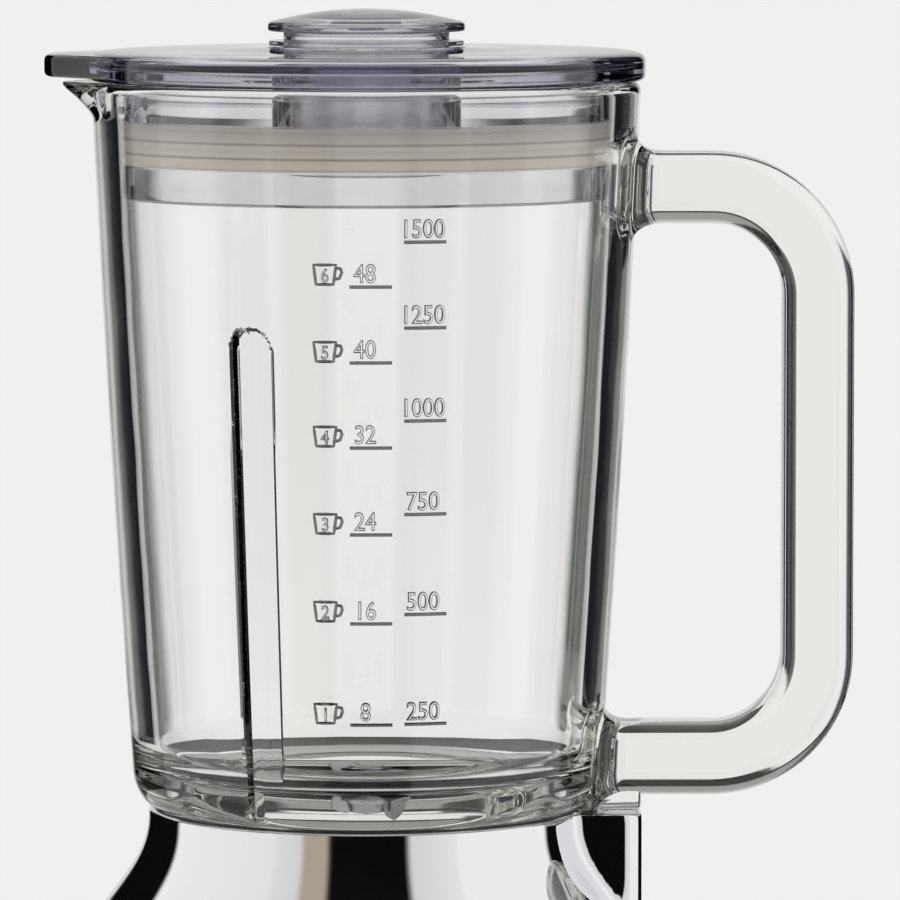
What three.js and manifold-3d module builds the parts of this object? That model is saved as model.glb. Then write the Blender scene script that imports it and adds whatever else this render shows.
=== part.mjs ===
// Countertop blender: a pressed glass jug with a solid handle and a flow rib, a clear lid with a filler cap,
// and a chromed, bell-shaped motor base with one speed dial and one pulse button.
// Millimetres, +Z up. The origin is on the drive axis, on the table that the feet stand on.
// The front, with the dial, faces -Y. The handle is on +X and the pouring spout on -X.

import * as THREE from 'three';
import { mergeVertices } from 'three/addons/utils/BufferGeometryUtils.js';
import Module from 'manifold-3d';

const wasm = await Module();
wasm.setup();

// Driving dimensions

const degree = Math.PI / 180;
const eighthTurn = 45 * degree;
const quarterTurn = 90 * degree;
const halfTurn = 180 * degree;
const fullTurn = 360 * degree;

// Clearance that is left between pieces that touch, how far a cutting shape runs past what it cuts,
// and how near two corners lie to count as one
const fit = 0.3;
const overrun = 1;
const cornerMerge = 0.0001;

// Sides of round shapes, by how large the shape is
const largeSides = 32;
const mediumSides = 16;
const smallSides = 12;
const tinySides = 8;
const cornerSteps = 3;
const springSteps = 8;
const springSides = 5;

// Screws, feet and motor mounts come in fours
const cornerCount = 4;

// The jug's outside, from its underside on the base up to the rim
const jug = {
  height: 181.5,
  rimRadius: 68.4,
  heelRadius: 58.8,
  bulge: 0.6,
  heelCornerWidth: 7,
  heelCornerHeight: 11,
  rimWall: 5.9,
  heelWall: 6.5,
  floorThickness: 9.5,
  floorCorner: 9,
  rimRounding: 2.2,
  wallSteps: 4,
  rimSteps: 2,
};

// The pouring spout, which pushes the rim out on the -X side
const spout = { reach: 8.8, depth: 9, halfAngle: 17 * degree, curve: 1.3, fineAngles: 8 };

// The groove pressed into the outside of the wall, and the rib that it raises inside
const flowRib = {
  angle: 243 * degree,
  grooveRadius: 6.2,
  standOff: 2,
  glassThickness: 5.4,
  topHeight: 123.2,
  below: 6,
  crownSteps: 4,
};

// The threaded neck under the floor that takes the blade unit
const neck = {
  outerRadius: 36,
  boreRadius: 30.5,
  length: 18,
  mouthRounding: 2,
  threadHeight: 1.2,
  threadWidth: 2.4,
  threadPitch: 5,
  threadStart: 7,
  threadTurns: 2,
};

// The glass handle: a soft-cornered bar from the upper root, round the grip and back to the lower root
const handle = {
  upperHeight: 155.2,
  lowerHeight: 12.3,
  gripReach: 112.6,
  bendRadius: 26.5,
  thickness: 17.6,
  width: 23,
  cornerRadius: 6.5,
  rootDepth: 3.6,
  rootFlare: 4,
  rootLength: 6,
  bendSteps: 7,
};

// The foot pad under the lower root, which stands on the base's tower
const footPad = { reach: 68.4, width: 20, height: 12, innerReach: 50 };

// The blade unit under the jug's floor
const bladeSeal = { thickness: 1.9, width: 4.5, inset: 0.5 };
const carrier = {
  flangeRadius: 36,
  flangeThickness: 2.3,
  hubRadius: 12,
  hubTop: 9,
  hubBottom: 27,
  dishRadius: 27,
  dishRise: 3,
};
const spindleBush = { wall: 2.5 };
const spindleSeal = { radius: 8, height: 3 };
const collar = {
  wall: 5.3,
  lipRadius: 30,
  lipThickness: 3,
  topDrop: 5,
  threadClearance: 0.5,
  lugCount: 8,
  lugRadius: 4,
  lugProud: 3,
};
const spindle = {
  radius: 3.9,
  shoulderRadius: 6,
  shoulderThickness: 2.2,
  shoulderGap: 2.8,
  threadLength: 4.4,
};
const blade = {
  thickness: 1.5,
  hubRadius: 9,
  bendReach: 8.2,
  rootWidth: 14,
  tipWidth: 8,
  lowerReach: 28,
  upperReach: 24.5,
  lowerBend: -8 * degree,
  upperBend: 32 * degree,
  lowerTurn: 20 * degree,
};
const bladeWasher = { radius: 7, thickness: 1.1 };
const bladeNut = { radius: 6.6, height: 6.4, crown: 1.5 };
const driveSocket = { radius: 16, height: 14.4, roof: 4.2 };

// The splined drive between base and jug
const spline = { outerRadius: 11, innerRadius: 8, lobes: 6, topGap: 1 };
const coupler = { starHeight: 11, flingerRadius: 14.5, flingerThickness: 2 };

// The lid, from the underside of its flange
const lid = {
  flangeRadius: 69.5,
  rimThickness: 7.2,
  rimRounding: 1.6,
  rimSideDrop: 2.4,
  rimTopDrop: 0.5,
  rimTopWidth: 4,
  crownRise: 0.8,
  crownMiddleDrop: 0.3,
  bossRadius: 24.3,
  bossRise: 0.4,
  plateThickness: 3.8,
  skirtRadius: 60.6,
  skirtWall: 2.7,
  skirtDepth: 28.8,
  skirtChamfer: 0.9,
  tubeBore: 21.2,
  tubeWall: 2.4,
  tubeDepth: 23.1,
  tongueReach: 80,
  tongueTipHalfWidth: 10,
  tongueRootAngle: 30 * degree,
  tongueTipRounding: 5,
  tongueRise: 1,
  tongueThickness: 5.6,
};
const gasket = {
  seatDrop: 9.3,
  height: 10.6,
  grooveDepth: 1.2,
  bodyWidth: 0.7,
  finReach: 0.6,
  finHeight: 1.6,
  fins: 3,
};

// The filler cap, from the top of the lid's boss
const cap = {
  neckRadius: 20.7,
  neckWall: 2,
  neckDepth: 28,
  flangeRadius: 24.3,
  flangeThickness: 1.1,
  discRadius: 24.6,
  discUnderside: 3.5,
  discEdge: 2.1,
  domeRise: 3.4,
  roofThickness: 3.9,
};

// The chromed housing
const housing = {
  seatHeight: 175,
  neckRim: 1.5,
  waistDraw: 0.4,
  flareStartPull: 11.7,
  flareEndPull: 15.9,
  shoulderRadius: 70,
  shoulderDrop: 29.7,
  shoulderSlope: 35 * degree,
  bellStartPull: 24.4,
  bellEndPull: 51,
  skirtRadius: 97.5,
  skirtTop: 34,
  bottom: 6,
  wall: 2.5,
  topPlate: 3.7,
  flareSteps: 4,
  bellSteps: 4,
};

// The tower on the housing's shoulder, under the jug's foot pad
const tower = {
  padMargin: 0.2,
  halfWidth: 18.5,
  cornerRadius: 5,
  blend: 5,
  faceSteps: 2,
  cornerSteps: 3,
  sideSteps: 4,
  sideInnerReach: 44,
};

// The dial, the knob and the pulse button on the front of the housing
const dial = {
  height: 64,
  proud: 1,
  bossRadius: 30,
  plateRadius: 27,
  plateThickness: 1.4,
  bossDepth: 30,
};
const knob = {
  radius: 15.5,
  height: 17,
  taper: 1.2,
  edgeRounding: 1.8,
  pointerWidth: 2,
  pointerDepth: 1.2,
  pointerLength: 9,
  fluteCount: 12,
  fluteRadius: 1.4,
  fluteReach: 0.5,
  fluteStart: 4.2,
  fluteSides: 4,
};
const knobSpindle = { radius: 3, knobEnd: 12, switchEnd: 24 };
const pulse = {
  height: 21,
  headRadius: 7,
  headRounding: 0.6,
  proud: 3.5,
  flangeRadius: 8.8,
  flangeThickness: 2.8,
  stemRadius: 3,
  stemLength: 13.5,
  springRadius: 4.4,
  springWire: 0.45,
  springTurns: 6,
};

// The drip well that lines the top of the housing and carries the motor
const well = {
  collarClearance: 2.5,
  wall: 2.8,
  flangeWidth: 4.5,
  flangeThickness: 1.3,
  floorTop: 127.5,
  floorThickness: 2.5,
  shaftHole: 7,
  lipRadius: 10,
  lipRise: 1.5,
  bossRadius: 6.5,
  bossDrop: 7.2,
};

// The safety interlock in the tower
const interlock = {
  reach: 60.5,
  pinRadius: 2.5,
  pinLength: 21.6,
  pinDrop: 0.4,
  flangeRadius: 4.2,
  flangeThickness: 2,
  flangeDrop: 14.6,
  guideRadius: 5.2,
  guideLength: 7.5,
  springRadius: 3.4,
  springWire: 0.4,
  springTurns: 6,
  switchHeight: 20,
  switchLength: 10,
  switchWidth: 12,
  shelfThickness: 3.5,
  shelfWidth: 16,
  shelfInnerReach: 50,
};

// The motor: a universal motor that stands on end under the drip well
const motor = {
  shaftRadius: 4,
  shaftBottom: 13,
  coreBottom: 62,
  coreHeight: 36,
  rotorRadius: 22.5,
  airGap: 0.5,
  rotorSlots: 12,
  rotorSlotDepth: 3,
  rotorSlotShare: 0.35,
  statorLength: 84,
  statorWidth: 76,
  statorCorner: 6,
  poleHalfWidth: 18.5,
  slotWidth: 9,
  slotHalfLength: 33.5,
};
const coil = {
  innerReach: 25,
  thickness: 7.5,
  legWidth: 8,
  overhang: 7.7,
  cornerRadius: 7,
  slotClearance: 0.5,
};
const commutator = { radius: 12, bottom: 42, height: 16 };
const brush = {
  width: 6,
  height: 8,
  length: 15,
  holderWall: 2,
  holderLength: 20,
  footWidth: 8,
  footInset: 3,
};
const bracket = {
  plateThickness: 3,
  lowerPlateBottom: 31,
  upperPlateBottom: 107,
  bossRadius: 14,
  lowerBossHeight: 8.5,
  upperBossHeight: 7.5,
  lipRadius: 7,
  lipThickness: 1,
  postRadius: 4,
  postReachX: 37,
  postReachY: 33,
};
const bearing = { outerRadius: 11, height: 6.4 };
const motorBolt = { radius: 2, headRadius: 3.6, headHeight: 2.4, overhang: 1.6 };
const motorMount = { radius: 6.5, reachX: 30, reachY: 20 };
const fan = {
  radius: 33,
  hubRadius: 8,
  bottom: 14,
  height: 12,
  plateThickness: 1.5,
  vaneThickness: 1.5,
  vaneDrop: 1,
  vanes: 10,
};

// The bottom cover, its screws and the feet
const cover = {
  bottom: 2,
  edgeInset: 1,
  plateThickness: 3.7,
  rimOuterGap: 0.3,
  rimWall: 1.7,
  rimTop: 12,
  ventCount: 12,
  ventWidth: 4,
  ventInner: 18,
  ventOuter: 40,
};
const screw = {
  inset: 7,
  headRadius: 3.4,
  headHeight: 2,
  shankRadius: 1.5,
  tip: 26,
  recess: 0.4,
  bossRadius: 6,
  bossBottom: 12.4,
  bossTop: 30,
};
const foot = {
  inset: 25.5,
  radius: 10,
  height: 3.7,
  studRadius: 2.5,
  studHeadRadius: 4,
  studHeadHeight: 2,
};

// The control board behind the dial, its two switches and the rails that hold it
const board = {
  setback: 29.9,
  thickness: 1.6,
  halfWidth: 26,
  bottom: 10,
  top: 88,
  railSize: 8,
  railTop: 26,
  grooveDepth: 2.3,
};
const speedSwitch = { size: 26, shellGap: 1.2, bushingRadius: 5 };
const pulseSwitch = { size: 12, setback: 23 };

// The gland at the back, where the mains cord leaves
const gland = {
  height: 30,
  flangeRadius: 9,
  flangeThickness: 3,
  boreRadius: 3.8,
  spigotRadius: 6.6,
  nutRadius: 8.8,
  nutThickness: 3,
  edgeRounding: 1.5,
  standOff: 0.7,
};

// Radii, heights and lengths that follow from the sizes above

const collarBore = neck.outerRadius + neck.threadHeight + collar.threadClearance;
const collarRadius = collarBore + collar.wall;
const wellBore = collarRadius + collar.lugProud + well.collarClearance;
const wellFlange = wellBore + well.flangeWidth;
const housingNeck = wellFlange + fit + housing.neckRim;
const towerReach = footPad.reach + tower.padMargin;
const dialFace = housing.skirtRadius + dial.proud;
const boardFront = housing.skirtRadius - board.setback;
const pulseSwitchFront = housing.skirtRadius - pulseSwitch.setback;
const screwReach = housing.skirtRadius - screw.inset;
const footReach = housing.skirtRadius - foot.inset;
const coverRadius = housing.skirtRadius - cover.edgeInset;
const shellInner = housing.skirtRadius - housing.wall;
const seatTop = housing.seatHeight - fit;
const lidHeight = jug.height + fit;
const capHeight = lid.rimThickness + lid.crownRise + lid.bossRise + fit;
const sealTop = -(neck.length + fit);
const carrierTop = sealTop - bladeSeal.thickness - fit;
const carrierBottom = carrierTop - carrier.flangeThickness;
const collarLipTop = carrierBottom - fit;
const collarBottom = collarLipTop - collar.lipThickness;
const socketTop = -(carrier.hubBottom + fit);
const socketRoof = socketTop - driveSocket.roof;
const socketBottom = socketTop - driveSocket.height;
const couplerTop = housing.seatHeight + socketRoof - spline.topGap;
const bladeSeat = -(carrier.hubTop - spindle.shoulderGap - spindle.shoulderThickness);
const lowerBladeBottom = bladeSeat + fit;
const upperBladeBottom = lowerBladeBottom + blade.thickness + fit;
const washerBottom = upperBladeBottom + blade.thickness + fit;
const nutBottom = washerBottom + bladeWasher.thickness + fit;
const spindleTop = nutBottom + spindle.threadLength;
const wellFloorBottom = well.floorTop - well.floorThickness;
const statorTop = motor.coreBottom + motor.coreHeight;
const upperPlateTop = bracket.upperPlateBottom + bracket.plateThickness;
const lowerPlateTop = bracket.lowerPlateBottom + bracket.plateThickness;
const coverTop = cover.bottom + cover.plateThickness;
const shelfTop = seatTop - interlock.pinLength - interlock.switchHeight - 2 * fit - interlock.shelfThickness;

// Geometry helpers

// A closed solid from a geometry whose faces are closed but whose corners aren't shared yet
function solidOf(shape) {
  if (shape.isBufferGeometry !== true) return shape;
  const bare = shape.clone();
  bare.deleteAttribute('normal');
  bare.deleteAttribute('uv');
  const merged = mergeVertices(bare, cornerMerge);
  const position = merged.attributes.position;
  const index = merged.index.array;
  const corners = [];
  const a = new THREE.Vector3();
  const b = new THREE.Vector3();
  const c = new THREE.Vector3();
  let volume = 0;
  for (let i = 0; i < index.length; i += 3) {
    const [p, q, r] = [index[i], index[i + 1], index[i + 2]];
    if (p === q || q === r || r === p) continue;
    corners.push(p, q, r);
    a.fromBufferAttribute(position, p);
    b.fromBufferAttribute(position, q);
    c.fromBufferAttribute(position, r);
    volume += a.dot(b.cross(c));
  }
  if (volume < 0) corners.reverse();
  return new wasm.Manifold(new wasm.Mesh({
    numProp: 3,
    vertProperties: new Float32Array(position.array),
    triVerts: new Uint32Array(corners),
  }));
}

function join(first, ...others) {
  return others.reduce((whole, other) => whole.add(solidOf(other)), solidOf(first));
}

function cut(first, ...tools) {
  return tools.reduce((whole, tool) => whole.subtract(solidOf(tool)), solidOf(first));
}

function geometryOf(shape) {
  const mesh = solidOf(shape).getMesh();
  const geometry = new THREE.BufferGeometry();
  geometry.setAttribute('position', new THREE.BufferAttribute(new Float32Array(mesh.vertProperties), 3));
  geometry.setIndex(new THREE.BufferAttribute(new Uint32Array(mesh.triVerts), 1));
  geometry.computeVertexNormals();
  return geometry;
}

function point(radius, height) {
  return new THREE.Vector2(radius, height);
}

// An outline of [radius, height] pairs turned about +Z; it starts and ends on the axis, or closes on itself
function revolve(outline, sides, closes = false) {
  const points = outline.map(([radius, height]) => point(radius, height));
  if (closes) points.push(points[0].clone());
  return new THREE.LatheGeometry(points, sides).rotateX(quarterTurn);
}

// The same, with its sides at chosen angles and each corner's radius set by a function
function revolveShaped(outline, angles, radiusAt) {
  const points = outline.map(([radius, height]) => point(radius, height));
  const geometry = new THREE.LatheGeometry(points, angles.length).rotateX(quarterTurn);
  const position = geometry.attributes.position;
  for (let i = 0; i < position.count; i += 1) {
    const [radius, height] = outline[i % outline.length];
    const angle = angles[Math.floor(i / outline.length) % angles.length];
    const shaped = radius === 0 ? 0 : radiusAt(radius, height, angle);
    position.setXYZ(i, shaped * Math.cos(angle), shaped * Math.sin(angle), height);
  }
  return geometry;
}

function cylinder(radius, bottom, top, sides) {
  return revolve([[0, bottom], [radius, bottom], [radius, top], [0, top]], sides);
}

function ring(inner, outer, bottom, top, sides) {
  return revolve([[inner, bottom], [outer, bottom], [outer, top], [inner, top]], sides, true);
}

// A block between two opposite corners
function block(low, high) {
  const [x, y, z] = [0, 1, 2].map((i) => high[i] - low[i]);
  return new THREE.BoxGeometry(x, y, z).translate(...[0, 1, 2].map((i) => (low[i] + high[i]) / 2));
}

function extrude(shape, bottom, top, curveSegments = 6) {
  return new THREE.ExtrudeGeometry(shape, { depth: top - bottom, bevelEnabled: false, curveSegments })
    .translate(0, 0, bottom);
}

function roundedRectangle(length, width, corner) {
  const shape = new THREE.Shape();
  const x = length / 2;
  const y = width / 2;
  shape.moveTo(x - corner, -y);
  shape.absarc(x - corner, corner - y, corner, -quarterTurn, 0);
  shape.absarc(x - corner, y - corner, corner, 0, quarterTurn);
  shape.absarc(corner - x, y - corner, corner, quarterTurn, halfTurn);
  shape.absarc(corner - x, corner - y, corner, halfTurn, halfTurn + quarterTurn);
  return shape;
}

// Angles from one value to another, both ends included
function spread(from, to, steps) {
  return Array.from({ length: steps + 1 }, (_, i) => from + ((to - from) * i) / steps);
}

// A tube of wire wound round +Z, with its ends cut square
function coilSpring(radius, wire, bottom, top, turns) {
  class Helix extends THREE.Curve {
    getPoint(share, target = new THREE.Vector3()) {
      const angle = fullTurn * turns * share;
      const height = bottom + wire + (top - bottom - 2 * wire) * share;
      return target.set(radius * Math.cos(angle), radius * Math.sin(angle), height);
    }
  }
  const round = new THREE.EllipseCurve(0, 0, wire, wire);
  const section = new THREE.Shape(round.getPoints(springSides).slice(1));
  return new THREE.ExtrudeGeometry(section, {
    steps: turns * springSteps,
    extrudePath: new Helix(),
    bevelEnabled: false,
  });
}

// Places round the axis, evenly spaced
function around(count, reach, start = 0) {
  return Array.from({ length: count }, (_, i) => {
    const angle = start + (fullTurn * i) / count;
    return [reach * Math.cos(angle), reach * Math.sin(angle), angle];
  });
}

// How far a cylinder's side falls away from its tangent plane within half a width
function sagitta(radius, halfWidth) {
  return radius - Math.sqrt(radius ** 2 - halfWidth ** 2);
}

// The scene: groups are placed where the pieces in them are carried

function paint(color, roughness, metalness, more = {}) {
  return new THREE.MeshStandardMaterial({ color, roughness, metalness, ...more });
}

const clearLook = { transparent: true, opacity: 0.35 };
const look = {
  glass: () => paint(0xdfe9e3, 0.03, 0, clearLook),
  clearPlastic: () => paint(0xc9cbd6, 0.08, 0, clearLook),
  silicone: () => paint(0xc9c2b4, 0.55, 0),
  chrome: () => paint(0xe6e7ea, 0.04, 1),
  blackPlastic: () => paint(0x1c1d1f, 0.5, 0),
  rubber: () => paint(0x202122, 0.85, 0),
  steel: () => paint(0xbfc2c4, 0.25, 1),
  zincPlate: () => paint(0xa9adb0, 0.4, 1),
  laminations: () => paint(0x6e7275, 0.5, 0.8),
  copper: () => paint(0xb5713f, 0.3, 1),
  bronze: () => paint(0xb08a4e, 0.4, 1),
  carbon: () => paint(0x2b2b2c, 0.8, 0),
  nylon: () => paint(0xe9e6dc, 0.5, 0),
  circuitBoard: () => paint(0x2f6b45, 0.55, 0),
  satinPlate: () => paint(0xcfd1d3, 0.35, 0.9),
};

const blender = new THREE.Group();
const base = new THREE.Group();
const jugGroup = new THREE.Group();
const lidGroup = new THREE.Group();
const capGroup = new THREE.Group();
const dialGroup = new THREE.Group();
const pulseGroup = new THREE.Group();
const glandGroup = new THREE.Group();

jugGroup.position.z = housing.seatHeight;
lidGroup.position.z = lidHeight;
capGroup.position.z = capHeight;
dialGroup.position.set(0, -dialFace, dial.height);
dialGroup.rotation.x = quarterTurn;
pulseGroup.position.set(0, -housing.skirtRadius, pulse.height);
pulseGroup.rotation.x = quarterTurn;
glandGroup.position.set(0, housing.skirtRadius, gland.height);
glandGroup.rotation.x = -quarterTurn;
blender.add(base, jugGroup);
base.add(dialGroup, pulseGroup, glandGroup);
jugGroup.add(lidGroup);
lidGroup.add(capGroup);

function addPiece(group, name, shape, material) {
  const mesh = new THREE.Mesh(geometryOf(shape), material);
  mesh.name = name;
  group.add(mesh);
  return mesh;
}

// The glass jug

function jugOuterRadius(height) {
  const share = (height - jug.heelCornerHeight) / (jug.height - jug.heelCornerHeight);
  const swell = 4 * jug.bulge * share * (1 - share);
  return jug.heelRadius + (jug.rimRadius - jug.heelRadius) * share + swell;
}

function jugInnerRadius(height) {
  const share = (height - jug.heelCornerHeight) / (jug.height - jug.heelCornerHeight);
  return jugOuterRadius(height) - jug.heelWall - (jug.rimWall - jug.heelWall) * share;
}

// How far the spout pushes the rim out at this height and angle
function spoutPush(height, angle) {
  const turn = Math.abs(Math.abs(angle) - halfTurn);
  if (turn >= spout.halfAngle) return 0;
  const rise = THREE.MathUtils.clamp((height - jug.height + spout.depth) / spout.depth, 0, 1);
  return spout.reach * Math.cos((quarterTurn * turn) / spout.halfAngle) ** 2 * rise ** spout.curve;
}

function jugAngles() {
  const even = spread(spout.halfAngle - halfTurn, halfTurn - spout.halfAngle, largeSides);
  const fine = spread(halfTurn - spout.halfAngle, halfTurn + spout.halfAngle, spout.fineAngles);
  return even.concat(fine.slice(1, -1).map((angle) => (angle > halfTurn ? angle - fullTurn : angle)));
}

function jugShell() {
  const angles = jugAngles();
  const pushed = (radius, height, angle) => radius + spoutPush(height, angle);
  const wallBottom = jug.floorThickness + jug.floorCorner;
  const rimSide = jug.height - jug.rimRounding;
  const rimInner = jug.rimRadius - jug.rimWall;
  const spoutBottom = jug.height - spout.depth;
  const spoutMiddle = jug.height - spout.depth / 2;
  const wallHeights = [...spread(wallBottom, spoutBottom, jug.wallSteps), spoutMiddle, rimSide];
  const heel = spread(0, quarterTurn, cornerSteps).map((turn) => [
    jug.heelRadius - jug.heelCornerWidth * (1 - Math.sin(turn)),
    jug.heelCornerHeight * (1 - Math.cos(turn)),
  ]);
  const rim = spread(0, quarterTurn, jug.rimSteps).slice(1).map((turn) => [
    jugOuterRadius(rimSide) - jug.rimRounding * (1 - Math.cos(turn)),
    rimSide + jug.rimRounding * Math.sin(turn),
  ]);
  const outside = [
    [0, 0],
    ...heel,
    ...wallHeights.map((height) => [jugOuterRadius(height), height]),
    ...rim,
    [0, jug.height],
  ];
  const floorEdge = jugInnerRadius(wallBottom) - jug.floorCorner;
  const floorCorner = spread(0, quarterTurn, cornerSteps).map((turn) => [
    floorEdge + jug.floorCorner * Math.sin(turn),
    wallBottom - jug.floorCorner * Math.cos(turn),
  ]);
  const inside = [
    [0, jug.floorThickness],
    ...floorCorner,
    ...wallHeights.slice(1).map((height) => [jugInnerRadius(height), height]),
    [rimInner + jug.rimRounding / 2, jug.height],
    [rimInner + jug.rimRounding / 2, jug.height + overrun],
    [0, jug.height + overrun],
  ];
  return {
    outside: revolveShaped(outside, angles, pushed),
    inside: revolveShaped(inside, angles, pushed),
  };
}

// A bar with a round top that follows the slant of the wall, a set distance outside it
function wallBar(radius) {
  const top = flowRib.topHeight - flowRib.grooveRadius;
  const footReach = jugOuterRadius(0) + flowRib.standOff;
  const topReach = jugOuterRadius(top) + flowRib.standOff;
  const length = Math.hypot(top, topReach - footReach);
  const lean = Math.atan2(topReach - footReach, top);
  const crown = spread(0, quarterTurn, flowRib.crownSteps).map((turn) => [
    radius * Math.cos(turn),
    length + radius * Math.sin(turn),
  ]);
  crown[crown.length - 1][0] = 0;
  return revolve([[0, -flowRib.below], [radius, -flowRib.below], ...crown], smallSides)
    .rotateY(lean)
    .translate(footReach, 0, 0)
    .rotateZ(flowRib.angle);
}

// The handle's middle line, from inside the upper root to inside the lower root
function handlePath() {
  const upperStart = jugOuterRadius(handle.upperHeight) - handle.rootDepth;
  const lowerStart = jugOuterRadius(handle.lowerHeight) - handle.rootDepth;
  const bendCentre = handle.gripReach - handle.bendRadius;
  const at = (reach, height) => new THREE.Vector3(reach, 0, height);
  const bend = (height, from, to) => spread(from, to, handle.bendSteps).map((turn) => at(
    bendCentre + handle.bendRadius * Math.cos(turn),
    height + handle.bendRadius * Math.sin(turn),
  ));
  return [
    at(upperStart, handle.upperHeight),
    ...bend(handle.upperHeight - handle.bendRadius, quarterTurn, 0),
    ...bend(handle.lowerHeight + handle.bendRadius, 0, -quarterTurn),
    at(lowerStart, handle.lowerHeight),
  ];
}

// The bar: a section at each corner of the middle line, square to it, skinned into one closed geometry
function handleBar() {
  const corners = handlePath();
  const section = roundedRectangle(handle.thickness, handle.width, handle.cornerRadius).getPoints(1);
  const positions = [];
  const faces = [];
  corners.forEach((corner, i) => {
    const before = corners[Math.max(i - 1, 0)];
    const after = corners[Math.min(i + 1, corners.length - 1)];
    const along = after.clone().sub(before).normalize();
    const across = new THREE.Vector3(-along.z, 0, along.x);
    section.forEach((spot) => positions.push(
      corner.x + across.x * spot.x,
      spot.y,
      corner.z + across.z * spot.x,
    ));
  });
  const count = section.length;
  corners.slice(1).forEach((_, i) => section.forEach((__, k) => {
    const next = (k + 1) % count;
    const [a, b] = [i * count + k, i * count + next];
    faces.push(a, b, b + count, a, b + count, a + count);
  }));
  for (let k = 1; k < count - 1; k += 1) {
    const last = (corners.length - 1) * count;
    faces.push(0, k + 1, k, last, last + k, last + k + 1);
  }
  const geometry = new THREE.BufferGeometry();
  geometry.setAttribute('position', new THREE.Float32BufferAttribute(positions, 3));
  geometry.setIndex(faces);
  return geometry;
}

// A flared root where the handle leaves the wall
function handleRoot(height) {
  const start = jugOuterRadius(height) - handle.rootDepth;
  const wide = (handle.thickness + 2 * handle.rootFlare) / 2;
  const narrow = handle.thickness / 2;
  const steps = spread(0, 1, cornerSteps).map((share) => [
    wide - (wide - narrow) * Math.sin(share * quarterTurn),
    (handle.rootDepth + handle.rootLength) * share,
  ]);
  return revolve([[0, 0], ...steps, [0, handle.rootDepth + handle.rootLength]], smallSides)
    .rotateY(quarterTurn)
    .scale(1, handle.width / handle.thickness, 1)
    .translate(start, 0, height);
}

function neckShell() {
  const threads = [];
  for (let i = 0; i < neck.threadTurns; i += 1) {
    const middle = -(neck.threadStart + i * neck.threadPitch);
    threads.push(
      [neck.outerRadius, middle - neck.threadWidth / 2],
      [neck.outerRadius + neck.threadHeight, middle],
      [neck.outerRadius, middle + neck.threadWidth / 2],
    );
  }
  threads.sort((one, other) => one[1] - other[1]);
  return revolve([
    [0, -neck.length],
    [neck.outerRadius, -neck.length],
    ...threads,
    [neck.outerRadius, overrun],
    [0, overrun],
  ], mediumSides);
}

function neckBore() {
  return revolve([
    [0, -neck.length - overrun],
    [neck.boreRadius, -neck.length - overrun],
    [neck.boreRadius, jug.floorThickness - neck.mouthRounding],
    [neck.boreRadius + neck.mouthRounding, jug.floorThickness],
    [neck.boreRadius + neck.mouthRounding, jug.floorThickness + overrun],
    [0, jug.floorThickness + overrun],
  ], mediumSides);
}

function glassJug() {
  const { outside, inside } = jugShell();
  const hollow = cut(inside, wallBar(flowRib.grooveRadius + flowRib.glassThickness));
  const pad = block(
    [footPad.innerReach, -footPad.width / 2, 0],
    [footPad.reach, footPad.width / 2, footPad.height],
  );
  const body = join(
    outside,
    handleBar(),
    handleRoot(handle.upperHeight),
    handleRoot(handle.lowerHeight),
    pad,
    neckShell(),
  );
  const lowest = block(
    [-handle.gripReach, -handle.gripReach, -neck.length - overrun],
    [handle.gripReach, handle.gripReach, 0],
  );
  const threadReach = neck.outerRadius + neck.threadHeight + fit;
  const neckSpace = cylinder(threadReach, -neck.length - 2 * overrun, overrun, mediumSides);
  const belowSeat = cut(lowest, neckSpace);
  return cut(body, hollow, wallBar(flowRib.grooveRadius), neckBore(), belowSeat);
}

addPiece(jugGroup, 'glass_jug', glassJug(), look.glass());

// The blade unit: a seal, the carrier with its bush and lip seal, and the collar that clamps them to the neck

addPiece(jugGroup, 'blade_seal', ring(
  neck.outerRadius - bladeSeal.inset - bladeSeal.width,
  neck.outerRadius - bladeSeal.inset,
  sealTop - bladeSeal.thickness,
  sealTop,
  mediumSides,
), look.silicone());

function bladeCarrier() {
  const bushRadius = spindle.radius + fit + spindleBush.wall + fit;
  const sealFloor = -(carrier.hubTop + spindleSeal.height + fit);
  return revolve([
    [bushRadius, -carrier.hubBottom],
    [carrier.hubRadius, -carrier.hubBottom],
    [carrier.hubRadius, carrierBottom],
    [carrier.flangeRadius, carrierBottom],
    [carrier.flangeRadius, carrierTop],
    [carrier.dishRadius, carrierTop],
    [carrier.hubRadius, carrierTop + carrier.dishRise],
    [carrier.hubRadius, -carrier.hubTop],
    [spindleSeal.radius + fit, -carrier.hubTop],
    [spindleSeal.radius + fit, sealFloor],
    [bushRadius, sealFloor],
  ], mediumSides, true);
}
addPiece(jugGroup, 'blade_carrier', bladeCarrier(), look.blackPlastic());

addPiece(jugGroup, 'spindle_bush', ring(
  spindle.radius + fit,
  spindle.radius + fit + spindleBush.wall,
  -carrier.hubBottom,
  -(carrier.hubTop + spindleSeal.height + 2 * fit),
  smallSides,
), look.bronze());

addPiece(jugGroup, 'spindle_seal', ring(
  spindle.radius + fit,
  spindleSeal.radius,
  -(carrier.hubTop + spindleSeal.height),
  -carrier.hubTop,
  smallSides,
), look.rubber());

function collarRing() {
  const body = revolve([
    [collar.lipRadius, collarBottom],
    [collarRadius, collarBottom],
    [collarRadius, -collar.topDrop],
    [collarBore, -collar.topDrop],
    [collarBore, collarLipTop],
    [collar.lipRadius, collarLipTop],
  ], mediumSides, true);
  const lugReach = collarRadius + collar.lugProud - collar.lugRadius;
  const lugs = around(collar.lugCount, lugReach).map(([x, y]) => (
    cylinder(collar.lugRadius, collarBottom, -collar.topDrop, tinySides).translate(x, y, 0)
  ));
  return cut(join(body, ...lugs), cylinder(collarBore, collarLipTop, overrun, mediumSides));
}
addPiece(jugGroup, 'collar_ring', collarRing(), look.blackPlastic());

// What turns in the blade unit

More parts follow.
